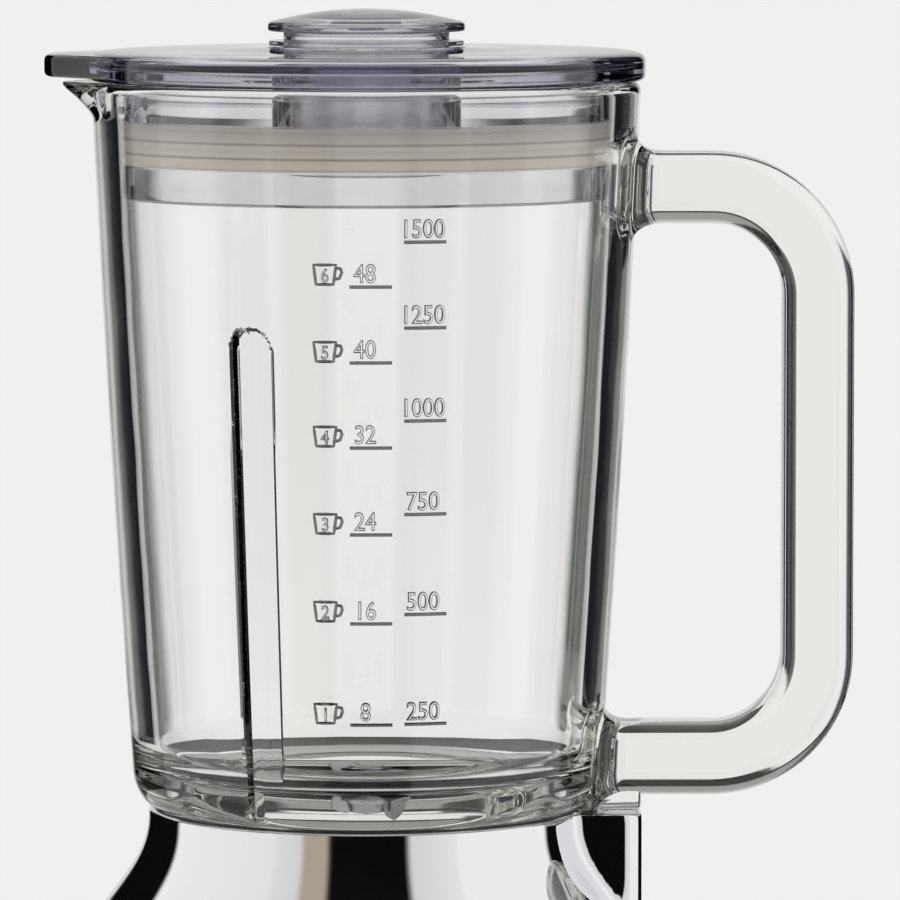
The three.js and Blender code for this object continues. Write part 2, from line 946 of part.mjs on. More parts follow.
addPiece(jugGroup, 'blade_spindle', revolve([
  [0, socketRoof + fit],
  [spindle.radius, socketRoof + fit],
  [spindle.radius, bladeSeat - spindle.shoulderThickness],
  [spindle.shoulderRadius, bladeSeat - spindle.shoulderThickness],
  [spindle.shoulderRadius, bladeSeat],
  [spindle.radius, bladeSeat],
  [spindle.radius, spindleTop],
  [0, spindleTop],
], smallSides), look.steel());

// A pair of wings on one hub plate, bent along a line near the hub
function bladePair(bottom, reach, bend, turn) {
  const length = reach - blade.bendReach;
  const planform = new THREE.Shape();
  planform.moveTo(0, -blade.rootWidth / 2);
  planform.lineTo(length, -blade.tipWidth / 2);
  planform.lineTo(length - blade.tipWidth / 2, blade.tipWidth / 2);
  planform.lineTo(0, blade.rootWidth / 2);
  planform.closePath();
  const hinge = bend < 0 ? blade.thickness : 0;
  const wing = extrude(planform, -hinge, blade.thickness - hinge)
    .rotateY(-bend)
    .translate(blade.bendReach, 0, bottom + hinge);
  const top = bottom + blade.thickness;
  const plate = cylinder(blade.hubRadius, bottom, top, smallSides);
  const bore = cylinder(spindle.radius + fit, bottom - overrun, top + overrun, smallSides);
  const pair = cut(join(plate, wing, wing.clone().rotateZ(halfTurn)), bore);
  return geometryOf(pair).rotateZ(turn);
}
addPiece(
  jugGroup,
  'lower_blade',
  bladePair(lowerBladeBottom, blade.lowerReach, blade.lowerBend, blade.lowerTurn),
  look.steel(),
);
addPiece(
  jugGroup,
  'upper_blade',
  bladePair(upperBladeBottom, blade.upperReach, blade.upperBend, blade.lowerTurn + quarterTurn),
  look.steel(),
);

addPiece(jugGroup, 'blade_washer', ring(
  spindle.radius + fit,
  bladeWasher.radius,
  washerBottom,
  washerBottom + bladeWasher.thickness,
  smallSides,
), look.steel());

function hexNut() {
  const sides = 6;
  const body = revolve([
    [0, nutBottom],
    [bladeNut.radius, nutBottom],
    [bladeNut.radius, nutBottom + bladeNut.height - bladeNut.crown],
    [bladeNut.radius - bladeNut.crown, nutBottom + bladeNut.height],
    [0, nutBottom + bladeNut.height],
  ], sides);
  return cut(body, cylinder(spindle.radius + fit, nutBottom - overrun, spindleTop + fit, smallSides));
}
addPiece(jugGroup, 'blade_nut', hexNut(), look.steel());

// The star that drives: lobes between two radii, made larger by a clearance for the socket
function splineStar(clearance, bottom, top) {
  const cornersPerLobe = 4;
  const radii = [spline.outerRadius, spline.outerRadius, spline.innerRadius, spline.innerRadius];
  const corners = around(spline.lobes * cornersPerLobe, 1).map(([x, y], i) => {
    const radius = radii[i % cornersPerLobe] + clearance;
    return new THREE.Vector2(radius * x, radius * y);
  });
  return extrude(new THREE.Shape(corners), bottom, top);
}

addPiece(jugGroup, 'drive_socket', cut(
  cylinder(driveSocket.radius, socketBottom, socketTop, mediumSides),
  splineStar(2 * fit, socketBottom - overrun, socketRoof),
  cylinder(spindle.radius + fit, socketRoof - overrun, socketTop + overrun, smallSides),
), look.rubber());

// The lid, with its gasket and the filler cap

function lidBody() {
  const plateTop = lid.rimThickness + lid.crownRise;
  const plateBottom = plateTop - lid.plateThickness;
  const skirtInner = lid.skirtRadius - lid.skirtWall;
  const tubeOuter = lid.tubeBore + lid.tubeWall;
  const grooveBottom = -(gasket.seatDrop + gasket.height + 2 * fit);
  const grooveRadius = lid.skirtRadius - gasket.grooveDepth;
  const rim = lid.rimRounding;
  const plate = revolve([
    [lid.tubeBore, -lid.tubeDepth],
    [tubeOuter, -lid.tubeDepth],
    [tubeOuter, plateBottom],
    [skirtInner, plateBottom - lid.crownRise],
    [skirtInner, lid.skirtChamfer - lid.skirtDepth],
    [skirtInner + lid.skirtChamfer, -lid.skirtDepth],
    [lid.skirtRadius - lid.skirtChamfer, -lid.skirtDepth],
    [lid.skirtRadius, lid.skirtChamfer - lid.skirtDepth],
    [lid.skirtRadius, grooveBottom],
    [grooveRadius, grooveBottom],
    [grooveRadius, -gasket.seatDrop],
    [lid.skirtRadius, -gasket.seatDrop],
    [lid.skirtRadius, 0],
    [lid.flangeRadius - rim, 0],
    [lid.flangeRadius, rim],
    [lid.flangeRadius, lid.rimThickness - lid.rimSideDrop],
    [lid.flangeRadius - rim, lid.rimThickness - lid.rimTopDrop],
    [lid.flangeRadius - lid.rimTopWidth, lid.rimThickness],
    [(lid.flangeRadius + lid.bossRadius) / 2, plateTop - lid.crownMiddleDrop],
    [lid.bossRadius + lid.bossRise, plateTop],
    [lid.bossRadius, plateTop + lid.bossRise],
    [lid.tubeBore, plateTop + lid.bossRise],
  ], largeSides, true);
  const rootX = -lid.flangeRadius * Math.cos(lid.tongueRootAngle);
  const rootY = lid.flangeRadius * Math.sin(lid.tongueRootAngle);
  const tip = new THREE.Shape();
  tip.moveTo(rootX, rootY);
  const [end, side, round] = [-lid.tongueReach, lid.tongueTipHalfWidth, lid.tongueTipRounding];
  tip.lineTo(end + round, side);
  tip.quadraticCurveTo(end, side - round, end, 0);
  tip.quadraticCurveTo(end, round - side, end + round, -side);
  tip.lineTo(rootX, -rootY);
  tip.closePath();
  return join(plate, extrude(tip, lid.tongueRise, lid.tongueRise + lid.tongueThickness, cornerSteps));
}
addPiece(lidGroup, 'lid', lidBody(), look.clearPlastic());

function lidGasket() {
  const inner = lid.skirtRadius - gasket.grooveDepth + fit;
  const body = inner + gasket.bodyWidth;
  const top = -(gasket.seatDrop + fit);
  const bottom = top - gasket.height;
  const spacing = (gasket.height - gasket.finHeight) / (gasket.fins - 1);
  const outline = [[inner, bottom]];
  for (let i = 0; i < gasket.fins; i += 1) {
    const low = bottom + i * spacing;
    outline.push(
      [body, low],
      [body + gasket.finReach, low + gasket.finHeight / 2],
      [body, low + gasket.finHeight],
    );
  }
  outline.push([inner, top]);
  return revolve(outline, largeSides, true);
}
addPiece(lidGroup, 'lid_gasket', lidGasket(), look.silicone());

function fillerCap() {
  const discTop = cap.discUnderside + cap.discEdge;
  const dome = spread(0, 1, cornerSteps).map((share) => [
    cap.discRadius * (1 - share),
    discTop + cap.domeRise * (1 - (1 - share) ** 2),
  ]);
  return revolve([
    [0, discTop + cap.domeRise - cap.roofThickness],
    [cap.neckRadius - cap.neckWall, discTop + cap.domeRise - cap.roofThickness],
    [cap.neckRadius - cap.neckWall, -cap.neckDepth],
    [cap.neckRadius, -cap.neckDepth],
    [cap.neckRadius, 0],
    [cap.flangeRadius, 0],
    [cap.flangeRadius, cap.flangeThickness],
    [cap.neckRadius, cap.flangeThickness],
    [cap.neckRadius, cap.discUnderside],
    [cap.discRadius, cap.discUnderside],
    ...dome,
  ], mediumSides);
}
addPiece(capGroup, 'filler_cap', fillerCap(), look.clearPlastic());

// The chromed housing: a bell turned about the drive axis, with the tower blended into its shoulder

// Distance from the axis to the tower's outline at an angle from +X, drawn in by an inset
function towerRadius(angle, inset) {
  const turn = Math.abs(angle);
  if (turn >= quarterTurn) return 0;
  const reach = towerReach - inset;
  const halfWidth = tower.halfWidth - inset;
  const corner = tower.cornerRadius - inset;
  const cornerX = reach - corner;
  const cornerY = halfWidth - corner;
  if (turn <= Math.atan2(cornerY, reach)) return reach / Math.cos(turn);
  if (turn >= Math.atan2(halfWidth, cornerX)) return halfWidth / Math.sin(turn);
  const along = cornerX * Math.cos(turn) + cornerY * Math.sin(turn);
  return along + Math.sqrt(along ** 2 - cornerX ** 2 - cornerY ** 2 + corner ** 2);
}

// The larger of two radii, with a smooth blend where they cross
function blendedMax(one, other, blend) {
  const share = THREE.MathUtils.clamp((one - other + blend) / (2 * blend), 0, 1);
  return other + (one - other) * share + blend * share * (1 - share);
}

function towerAngles() {
  const faceY = tower.halfWidth - tower.cornerRadius;
  const cornerX = towerReach - tower.cornerRadius;
  const face = spread(0, faceY, tower.faceSteps).map((y) => Math.atan2(y, towerReach));
  const corner = spread(0, quarterTurn, tower.cornerSteps).slice(1).map((turn) => Math.atan2(
    faceY + tower.cornerRadius * Math.sin(turn),
    cornerX + tower.cornerRadius * Math.cos(turn),
  ));
  const side = spread(cornerX, tower.sideInnerReach, tower.sideSteps).slice(1).map((x) => (
    Math.atan2(tower.halfWidth, x)
  ));
  const half = [...face, ...corner, ...side];
  const last = half[half.length - 1];
  const rest = spread(last, fullTurn - last, largeSides - tower.sideSteps).slice(1, -1);
  const mirrored = half.slice(1).reverse().map((angle) => fullTurn - angle);
  return [...half, ...rest, ...mirrored].map((angle) => (angle > halfTurn ? angle - fullTurn : angle));
}

// The side of the bell from the top down, drawn in square to itself by an inset
function bellSide(inset) {
  const shoulderHeight = seatTop - housing.shoulderDrop;
  const shoulder = point(housing.shoulderRadius, shoulderHeight);
  const down = point(Math.sin(housing.shoulderSlope), -Math.cos(housing.shoulderSlope));
  const flare = new THREE.CubicBezierCurve(
    point(housingNeck, seatTop),
    point(housingNeck - housing.waistDraw, seatTop - housing.flareStartPull),
    shoulder.clone().addScaledVector(down, -housing.flareEndPull),
    shoulder,
  );
  const bell = new THREE.CubicBezierCurve(
    shoulder,
    shoulder.clone().addScaledVector(down, housing.bellStartPull),
    point(housing.skirtRadius, housing.skirtTop + housing.bellEndPull),
    point(housing.skirtRadius, housing.skirtTop),
  );
  const sample = (curve, steps) => spread(0, 1, steps).map((share) => {
    const spot = curve.getPoint(share);
    const along = curve.getTangent(share);
    return [spot.x + along.y * inset, spot.y - along.x * inset];
  });
  const flarePoints = sample(flare, housing.flareSteps);
  const bellPoints = sample(bell, housing.bellSteps).slice(1);
  return [...flarePoints, ...bellPoints];
}

// Distance from the axis to the inside of the housing at a height
function shellReach(height) {
  const side = [...bellSide(housing.wall), [shellInner, housing.bottom]];
  const below = side.findIndex(([, level]) => level < height);
  const [upperReach, upperLevel] = side[below - 1];
  const [lowerReach, lowerLevel] = side[below];
  return THREE.MathUtils.mapLinear(height, upperLevel, lowerLevel, upperReach, lowerReach);
}

function chromeHousing() {
  const angles = towerAngles();
  const blendAt = (inset) => (radius, height, angle) => (
    blendedMax(radius, towerRadius(angle, inset), tower.blend)
  );
  const side = bellSide(0);
  const outside = [[0, seatTop], ...side, [housing.skirtRadius, housing.bottom], [0, housing.bottom]];
  const ceiling = seatTop - housing.topPlate;
  const innerSide = bellSide(housing.wall).filter(([, height]) => height < ceiling - overrun);
  const inside = [
    [0, ceiling],
    [innerSide[0][0] - fit, ceiling],
    ...innerSide,
    [shellInner, housing.bottom - overrun],
    [0, housing.bottom - overrun],
  ];
  const dialBoss = cylinder(dial.bossRadius, -dial.bossDepth, 0, mediumSides)
    .rotateX(quarterTurn)
    .translate(0, -dialFace, dial.height);
  const dialRecess = cylinder(dial.plateRadius + fit, -(dial.plateThickness + fit), overrun, mediumSides)
    .rotateX(quarterTurn)
    .translate(0, -dialFace, dial.height);
  const dialHole = cylinder(speedSwitch.bushingRadius + fit, -dial.bossDepth, overrun, smallSides)
    .rotateX(quarterTurn)
    .translate(0, -dialFace, dial.height);
  const buttonHole = cylinder(pulse.headRadius + fit, -dial.bossDepth, dial.bossDepth, smallSides)
    .rotateX(quarterTurn)
    .translate(0, -housing.skirtRadius, pulse.height);
  const glandHole = cylinder(gland.spigotRadius + fit, -dial.bossDepth, dial.bossDepth, smallSides)
    .rotateX(-quarterTurn)
    .translate(0, housing.skirtRadius, gland.height);
  const wellHole = cylinder(
    wellBore + well.wall + fit,
    ceiling - overrun,
    seatTop + overrun,
    largeSides,
  );
  const wellRebate = cylinder(
    wellFlange + fit,
    seatTop - well.flangeThickness - fit,
    seatTop + overrun,
    largeSides,
  );
  const screwBosses = around(cornerCount, screwReach, eighthTurn).map(([x, y]) => (
    cylinder(screw.bossRadius, screw.bossBottom, screw.bossTop, tinySides).translate(x, y, 0)
  ));
  const pilotHoles = around(cornerCount, screwReach, eighthTurn).map(([x, y]) => (
    cylinder(screw.shankRadius + fit, housing.bottom, screw.tip + overrun, tinySides).translate(x, y, 0)
  ));
  const pinGuide = cylinder(
    interlock.guideRadius,
    ceiling - interlock.guideLength,
    ceiling + overrun,
    tinySides,
  ).translate(interlock.reach, 0, 0);
  const pinHole = cylinder(
    interlock.pinRadius + fit,
    ceiling - interlock.guideLength - overrun,
    seatTop + overrun,
    tinySides,
  ).translate(interlock.reach, 0, 0);
  const shell = cut(
    join(revolveShaped(outside, angles, blendAt(0)), dialBoss),
    revolveShaped(inside, angles, blendAt(housing.wall)),
  );
  return cut(
    join(shell, pinGuide, ...screwBosses),
    dialRecess,
    dialHole,
    buttonHole,
    glandHole,
    wellHole,
    wellRebate,
    pinHole,
    ...pilotHoles,
  );
}
addPiece(base, 'chrome_housing', chromeHousing(), look.chrome());

// The drip well: a cup that the blade unit sinks into, with the motor hung under its floor

function dripWell() {
  const flangeTop = seatTop;
  const outer = wellBore + well.wall;
  const cup = revolve([
    [well.shaftHole, wellFloorBottom],
    [outer, wellFloorBottom],
    [outer, flangeTop - well.flangeThickness],
    [wellFlange, flangeTop - well.flangeThickness],
    [wellFlange, flangeTop],
    [wellBore, flangeTop],
    [wellBore, well.floorTop],
    [well.lipRadius, well.floorTop],
    [well.lipRadius, well.floorTop + well.lipRise],
    [well.shaftHole, well.floorTop + well.lipRise],
  ], largeSides, true);
  const bossBottom = wellFloorBottom - well.bossDrop;
  const bosses = motorMountPlaces().map(([x, y]) => (
    cylinder(well.bossRadius, bossBottom, wellFloorBottom + overrun, tinySides).translate(x, y, 0)
  ));
  const shelf = block(
    [interlock.shelfInnerReach, -interlock.shelfWidth / 2, shelfTop - interlock.shelfThickness],
    [interlock.reach + interlock.switchLength / 2, interlock.shelfWidth / 2, shelfTop],
  );
  return join(cup, shelf, ...bosses);
}

// Places at the four corners of a rectangle
function cornerPlaces(reachX, reachY) {
  return [[1, 1], [-1, 1], [-1, -1], [1, -1]].map(([x, y]) => [x * reachX, y * reachY]);
}

function motorMountPlaces() {
  return cornerPlaces(motorMount.reachX, motorMount.reachY);
}
addPiece(base, 'drip_well', dripWell(), look.blackPlastic());

// The interlock: a sprung pin in the tower's top that the jug's foot pad holds down on its switch

const pinTop = housing.seatHeight - interlock.pinDrop;
const pinFlangeBottom = pinTop - interlock.flangeDrop - interlock.flangeThickness;
addPiece(base, 'interlock_pin', revolve([
  [0, pinTop - interlock.pinLength],
  [interlock.pinRadius, pinTop - interlock.pinLength],
  [interlock.pinRadius, pinFlangeBottom],
  [interlock.flangeRadius, pinFlangeBottom],
  [interlock.flangeRadius, pinFlangeBottom + interlock.flangeThickness],
  [interlock.pinRadius, pinFlangeBottom + interlock.flangeThickness],
  [interlock.pinRadius, pinTop],
  [0, pinTop],
], tinySides).translate(interlock.reach, 0, 0), look.nylon());

const interlockSwitchTop = shelfTop + fit + interlock.switchHeight;
addPiece(base, 'interlock_switch', block(
  [interlock.reach - interlock.switchLength / 2, -interlock.switchWidth / 2, shelfTop + fit],
  [interlock.reach + interlock.switchLength / 2, interlock.switchWidth / 2, interlockSwitchTop],
), look.blackPlastic());

addPiece(base, 'interlock_spring', coilSpring(
  interlock.springRadius,
  interlock.springWire,
  interlockSwitchTop + fit,
  pinFlangeBottom - fit,
  interlock.springTurns,
).translate(interlock.reach, 0, 0), look.steel());

// The motor's fixed parts

function statorCore() {
  const bore = motor.rotorRadius + motor.airGap;
  const body = extrude(
    roundedRectangle(motor.statorLength, motor.statorWidth, motor.statorCorner),
    motor.coreBottom,
    statorTop,
    cornerSteps,
  );
  const slots = [-1, 1].map((side) => {
    const near = side * motor.poleHalfWidth;
    const far = side * (motor.poleHalfWidth + motor.slotWidth);
    return block(
      [-motor.slotHalfLength, Math.min(near, far), motor.coreBottom - overrun],
      [motor.slotHalfLength, Math.max(near, far), statorTop + overrun],
    );
  });
  const boreTool = cylinder(bore, motor.coreBottom - overrun, statorTop + overrun, mediumSides);
  return cut(body, boreTool, ...slots, ...boltHoles(motor.coreBottom, statorTop));
}

function boltPlaces() {
  return [1, -1].map((side) => [side * bracket.postReachX, side * bracket.postReachY]);
}

function postPlaces() {
  return cornerPlaces(bracket.postReachX, bracket.postReachY);
}
addPiece(base, 'stator_core', statorCore(), look.laminations());

// A coil round one pole: a frame that stands in the slots and bends over both ends of the stack
function fieldCoil(side) {
  const halfInner = motor.poleHalfWidth + coil.slotClearance;
  const innerHeight = motor.coreHeight + 2 * fit;
  const outer = roundedRectangle(
    innerHeight + 2 * coil.overhang,
    2 * (halfInner + coil.legWidth),
    coil.cornerRadius,
  );
  outer.holes.push(new THREE.Path(
    roundedRectangle(innerHeight, 2 * halfInner, coil.slotClearance).getPoints(1).reverse(),
  ));
  const nearX = side > 0 ? coil.innerReach : -coil.innerReach - coil.thickness;
  return extrude(outer, 0, coil.thickness, cornerSteps)
    .rotateY(quarterTurn)
    .translate(nearX, 0, motor.coreBottom + motor.coreHeight / 2);
}
addPiece(base, 'field_coil_right', fieldCoil(1), look.copper());
addPiece(base, 'field_coil_left', fieldCoil(-1), look.copper());

function bracketPlate(bottom) {
  return extrude(
    roundedRectangle(motor.statorLength, motor.statorWidth, motor.statorCorner),
    bottom,
    bottom + bracket.plateThickness,
    cornerSteps,
  );
}

function boltHoles(bottom, top) {
  return boltPlaces().map(([x, y]) => (
    cylinder(motorBolt.radius + fit, bottom - overrun, top + overrun, tinySides).translate(x, y, 0)
  ));
}

function lowerBracket() {
  const bottom = bracket.lowerPlateBottom;
  const bossTop = bottom + bracket.lowerBossHeight;
  const posts = postPlaces().map(([x, y]) => (
    cylinder(bracket.postRadius, bottom, motor.coreBottom - fit, tinySides).translate(x, y, 0)
  ));
  return cut(
    join(bracketPlate(bottom), cylinder(bracket.bossRadius, bottom, bossTop, mediumSides), ...posts),
    cylinder(bearing.outerRadius + fit, bottom + bracket.lipThickness, bossTop + overrun, mediumSides),
    cylinder(bracket.lipRadius, bottom - overrun, bossTop, smallSides),
    ...boltHoles(bottom, motor.coreBottom),
  );
}
addPiece(base, 'motor_bottom_bracket', lowerBracket(), look.zincPlate());

function upperBracket() {
  const top = upperPlateTop;
  const bossBottom = top - bracket.upperBossHeight;
  const posts = postPlaces().map(([x, y]) => (
    cylinder(bracket.postRadius, statorTop + fit, top, tinySides).translate(x, y, 0)
  ));
  const boss = cylinder(bracket.bossRadius, bossBottom, top, mediumSides);
  return cut(
    join(bracketPlate(bracket.upperPlateBottom), boss, ...posts),
    cylinder(bearing.outerRadius + fit, bossBottom - overrun, top - bracket.lipThickness, mediumSides),
    cylinder(bracket.lipRadius, bossBottom, top + overrun, smallSides),
    ...boltHoles(statorTop, top),
  );
}
addPiece(base, 'motor_top_bracket', upperBracket(), look.zincPlate());

const lowerBearingBottom = bracket.lowerPlateBottom + bracket.lipThickness + fit;
const upperBearingTop = upperPlateTop - bracket.lipThickness - fit;
addPiece(base, 'lower_bearing', ring(
  motor.shaftRadius + fit,
  bearing.outerRadius,
  lowerBearingBottom,
  lowerBearingBottom + bearing.height,
  smallSides,
), look.steel());
addPiece(base, 'upper_bearing', ring(
  motor.shaftRadius + fit,
  bearing.outerRadius,
  upperBearingTop - bearing.height + fit,
  upperBearingTop,
  smallSides,
), look.steel());

function throughBolt([x, y]) {
  const headTop = bracket.lowerPlateBottom - fit;
  return revolve([
    [0, headTop - motorBolt.headHeight],
    [motorBolt.headRadius, headTop - motorBolt.headHeight],
    [motorBolt.headRadius, headTop],
    [motorBolt.radius, headTop],
    [motorBolt.radius, upperPlateTop + motorBolt.overhang],
    [0, upperPlateTop + motorBolt.overhang],
  ], tinySides).translate(x, y, 0);
}
boltPlaces().forEach((place, i) => {
  addPiece(base, `motor_bolt_${i + 1}`, throughBolt(place), look.steel());
});

const mountTop = wellFloorBottom - well.bossDrop - fit;
motorMountPlaces().forEach(([x, y], i) => addPiece(
  base,
  `motor_mount_${i + 1}`,
  cylinder(motorMount.radius, upperPlateTop + fit, mountTop, tinySides).translate(x, y, 0),
  look.rubber(),
));

// Brush gear on the lower bracket, one set at the front of the commutator and one at the rear

function brushParts(name, side) {
  const middle = commutator.bottom + commutator.height / 2;
  const near = commutator.radius + fit;
  const along = (low, high) => (side > 0 ? [low, high] : [-high, -low]);
  const holderWidth = brush.width + 2 * (fit + brush.holderWall);
  const holderHeight = brush.height + 2 * (fit + brush.holderWall);
  const [brushLow, brushHigh] = along(near, near + brush.length);
  const holderNear = near + brush.holderWall;
  const holderFar = holderNear + brush.holderLength;
  const [holderLow, holderHigh] = along(holderNear, holderFar);
  const footFar = holderFar - brush.footInset;
  const [footLow, footHigh] = along(footFar - brush.footWidth, footFar);
  const [boreLow, boreHigh] = along(holderNear - overrun, holderFar - brush.holderWall);
  const box = block(
    [-holderWidth / 2, holderLow, middle - holderHeight / 2],
    [holderWidth / 2, holderHigh, middle + holderHeight / 2],
  );
  const footBlock = block(
    [-brush.footWidth / 2, footLow, lowerPlateTop + fit],
    [brush.footWidth / 2, footHigh, middle],
  );
  const bore = block(
    [-brush.width / 2 - fit, boreLow, middle - brush.height / 2 - fit],
    [brush.width / 2 + fit, boreHigh, middle + brush.height / 2 + fit],
  );
  const holder = cut(join(box, footBlock), bore);
  addPiece(base, `brush_holder_${name}`, holder, look.bronze());
  addPiece(base, `carbon_brush_${name}`, block(
    [-brush.width / 2, brushLow, middle - brush.height / 2],
    [brush.width / 2, brushHigh, middle + brush.height / 2],
  ), look.carbon());
}
brushParts('front', -1);
brushParts('rear', 1);

// What turns in the base

addPiece(
  base,
  'motor_shaft',
  cylinder(motor.shaftRadius, motor.shaftBottom, couplerTop - fit, smallSides),
  look.steel(),
);

function rotorCore() {
  const shape = new THREE.Shape();
  const slotTurn = fullTurn / motor.rotorSlots;
  const slotHalf = (slotTurn * motor.rotorSlotShare) / 2;
  const inner = motor.rotorRadius - motor.rotorSlotDepth;
  for (let i = 0; i < motor.rotorSlots; i += 1) {
    const middle = slotTurn * i;
    const corners = [
      [inner, middle - slotHalf],
      [inner, middle + slotHalf],
      [motor.rotorRadius, middle + slotHalf],
      [motor.rotorRadius, middle + slotTurn - slotHalf],
    ];
    corners.forEach(([radius, angle], k) => {
      const spot = [radius * Math.cos(angle), radius * Math.sin(angle)];
      if (i === 0 && k === 0) shape.moveTo(...spot);
      else shape.lineTo(...spot);
    });
  }
  shape.closePath();
  return cut(
    extrude(shape, motor.coreBottom, statorTop),
    cylinder(motor.shaftRadius + fit, motor.coreBottom - overrun, statorTop + overrun, smallSides),
  );
}
addPiece(base, 'rotor_core', rotorCore(), look.laminations());

addPiece(base, 'commutator', ring(
  motor.shaftRadius + fit,
  commutator.radius,
  commutator.bottom,
  commutator.bottom + commutator.height,
  mediumSides,
), look.copper());

function coolingFan() {
  const top = fan.bottom + fan.height;
  const plate = cylinder(fan.radius, fan.bottom, fan.bottom + fan.plateThickness, mediumSides);
  const hub = cylinder(fan.hubRadius, fan.bottom, top, smallSides);
  const vanes = around(fan.vanes, 1).map(([, , angle]) => block(
    [fan.hubRadius - overrun, -fan.vaneThickness / 2, fan.bottom],
    [fan.radius - fan.vaneDrop, fan.vaneThickness / 2, top - fan.vaneDrop],
  ).rotateZ(angle));
  return cut(
    join(plate, hub, ...vanes),
    cylinder(motor.shaftRadius + fit, fan.bottom - overrun, top + overrun, smallSides),
  );
}
addPiece(base, 'cooling_fan', coolingFan(), look.blackPlastic());

function driveCoupler() {
  const starBottom = couplerTop - coupler.starHeight;
  const bottom = starBottom - coupler.flingerThickness;
  return cut(
    join(
      splineStar(0, bottom, couplerTop),
      cylinder(coupler.flingerRadius, bottom, starBottom, mediumSides),
    ),
    cylinder(motor.shaftRadius + fit, bottom - overrun, couplerTop + overrun, smallSides),
  );
}
addPiece(base, 'drive_coupler', driveCoupler(), look.nylon());

// The dial plate, the speed switch behind it, and the knob on its spindle; this group's +Z faces the front

addPiece(dialGroup, 'dial_plate', ring(
  speedSwitch.bushingRadius + 2 * fit,
  dial.plateRadius,
  -dial.plateThickness,
  0,
  mediumSides,
), look.satinPlate());

function speedSwitchBody() {
  const half = speedSwitch.size / 2;
  const reach = shellReach(dial.height + half);
  const front = reach - sagitta(reach, half) - speedSwitch.shellGap - dialFace;
  const rear = boardFront + fit - dialFace;
  return cut(
    join(
      block([-half, -half, rear], [half, half, front]),
      cylinder(speedSwitch.bushingRadius, front - overrun, -fit, smallSides),
    ),
    cylinder(knobSpindle.radius + fit, rear - overrun, overrun, smallSides),
  );
}
addPiece(dialGroup, 'speed_switch', speedSwitchBody(), look.blackPlastic());

addPiece(dialGroup, 'knob_spindle', cylinder(
  knobSpindle.radius,
  -knobSpindle.switchEnd,
  knobSpindle.knobEnd,
  smallSides,
), look.steel());

function speedKnob() {
  const body = revolve([
    [0, fit],
    [knob.radius, fit],
    [knob.radius - knob.taper, knob.height - knob.edgeRounding],
    [knob.radius - knob.taper - knob.edgeRounding, knob.height],
    [0, knob.height],
  ], mediumSides);
  const fluteReach = knob.radius + knob.fluteReach;
  const flutes = around(knob.fluteCount, fluteReach, halfTurn / knob.fluteCount).map(([x, y]) => (
    cylinder(knob.fluteRadius, knob.fluteStart, knob.height + overrun, knob.fluteSides).translate(x, y, 0)
  ));
  const pointer = block(
    [-knob.pointerWidth / 2, knob.radius - knob.taper - knob.pointerLength, knob.height - knob.pointerDepth],
    [knob.pointerWidth / 2, knob.radius + overrun, knob.height + overrun],
  );
  const socket = cylinder(knobSpindle.radius + fit, 0, knobSpindle.knobEnd + fit, smallSides);
  return cut(body, pointer, socket, ...flutes);
}
addPiece(dialGroup, 'speed_knob', speedKnob(), look.blackPlastic());

// The pulse button with its spring, and its switch; the pulse group's +Z faces the front

const flangeTop = -(housing.wall + 2 * fit + sagitta(shellInner, pulse.flangeRadius));
const flangeBottom = flangeTop - pulse.flangeThickness;
const buttonEnd = flangeBottom - pulse.stemLength;
addPiece(pulseGroup, 'pulse_button', revolve([
  [0, buttonEnd],
  [pulse.stemRadius, buttonEnd],
  [pulse.stemRadius, flangeBottom],
  [pulse.flangeRadius, flangeBottom],
  [pulse.flangeRadius, flangeTop],
  [pulse.headRadius, flangeTop],
  [pulse.headRadius, pulse.proud - pulse.headRounding],
  [pulse.headRadius - pulse.headRounding, pulse.proud],
  [0, pulse.proud],
], smallSides), look.blackPlastic());

addPiece(pulseGroup, 'pulse_spring', coilSpring(
  pulse.springRadius,
  pulse.springWire,
  pulseSwitchFront - housing.skirtRadius + fit,
  flangeBottom - fit,
  pulse.springTurns,
), look.steel());

addPiece(base, 'pulse_switch', block(
  [-pulseSwitch.size / 2, -pulseSwitchFront, pulse.height - pulseSwitch.size / 2],
  [pulseSwitch.size / 2, -boardFront - fit, pulse.height + pulseSwitch.size / 2],
), look.blackPlastic());

addPiece(base, 'control_board', block(
  [-board.halfWidth, -boardFront, board.bottom],
  [board.halfWidth, board.thickness - boardFront, board.top],
), look.circuitBoard());

// The bottom cover with its vents, board rails, screws and rubber feet

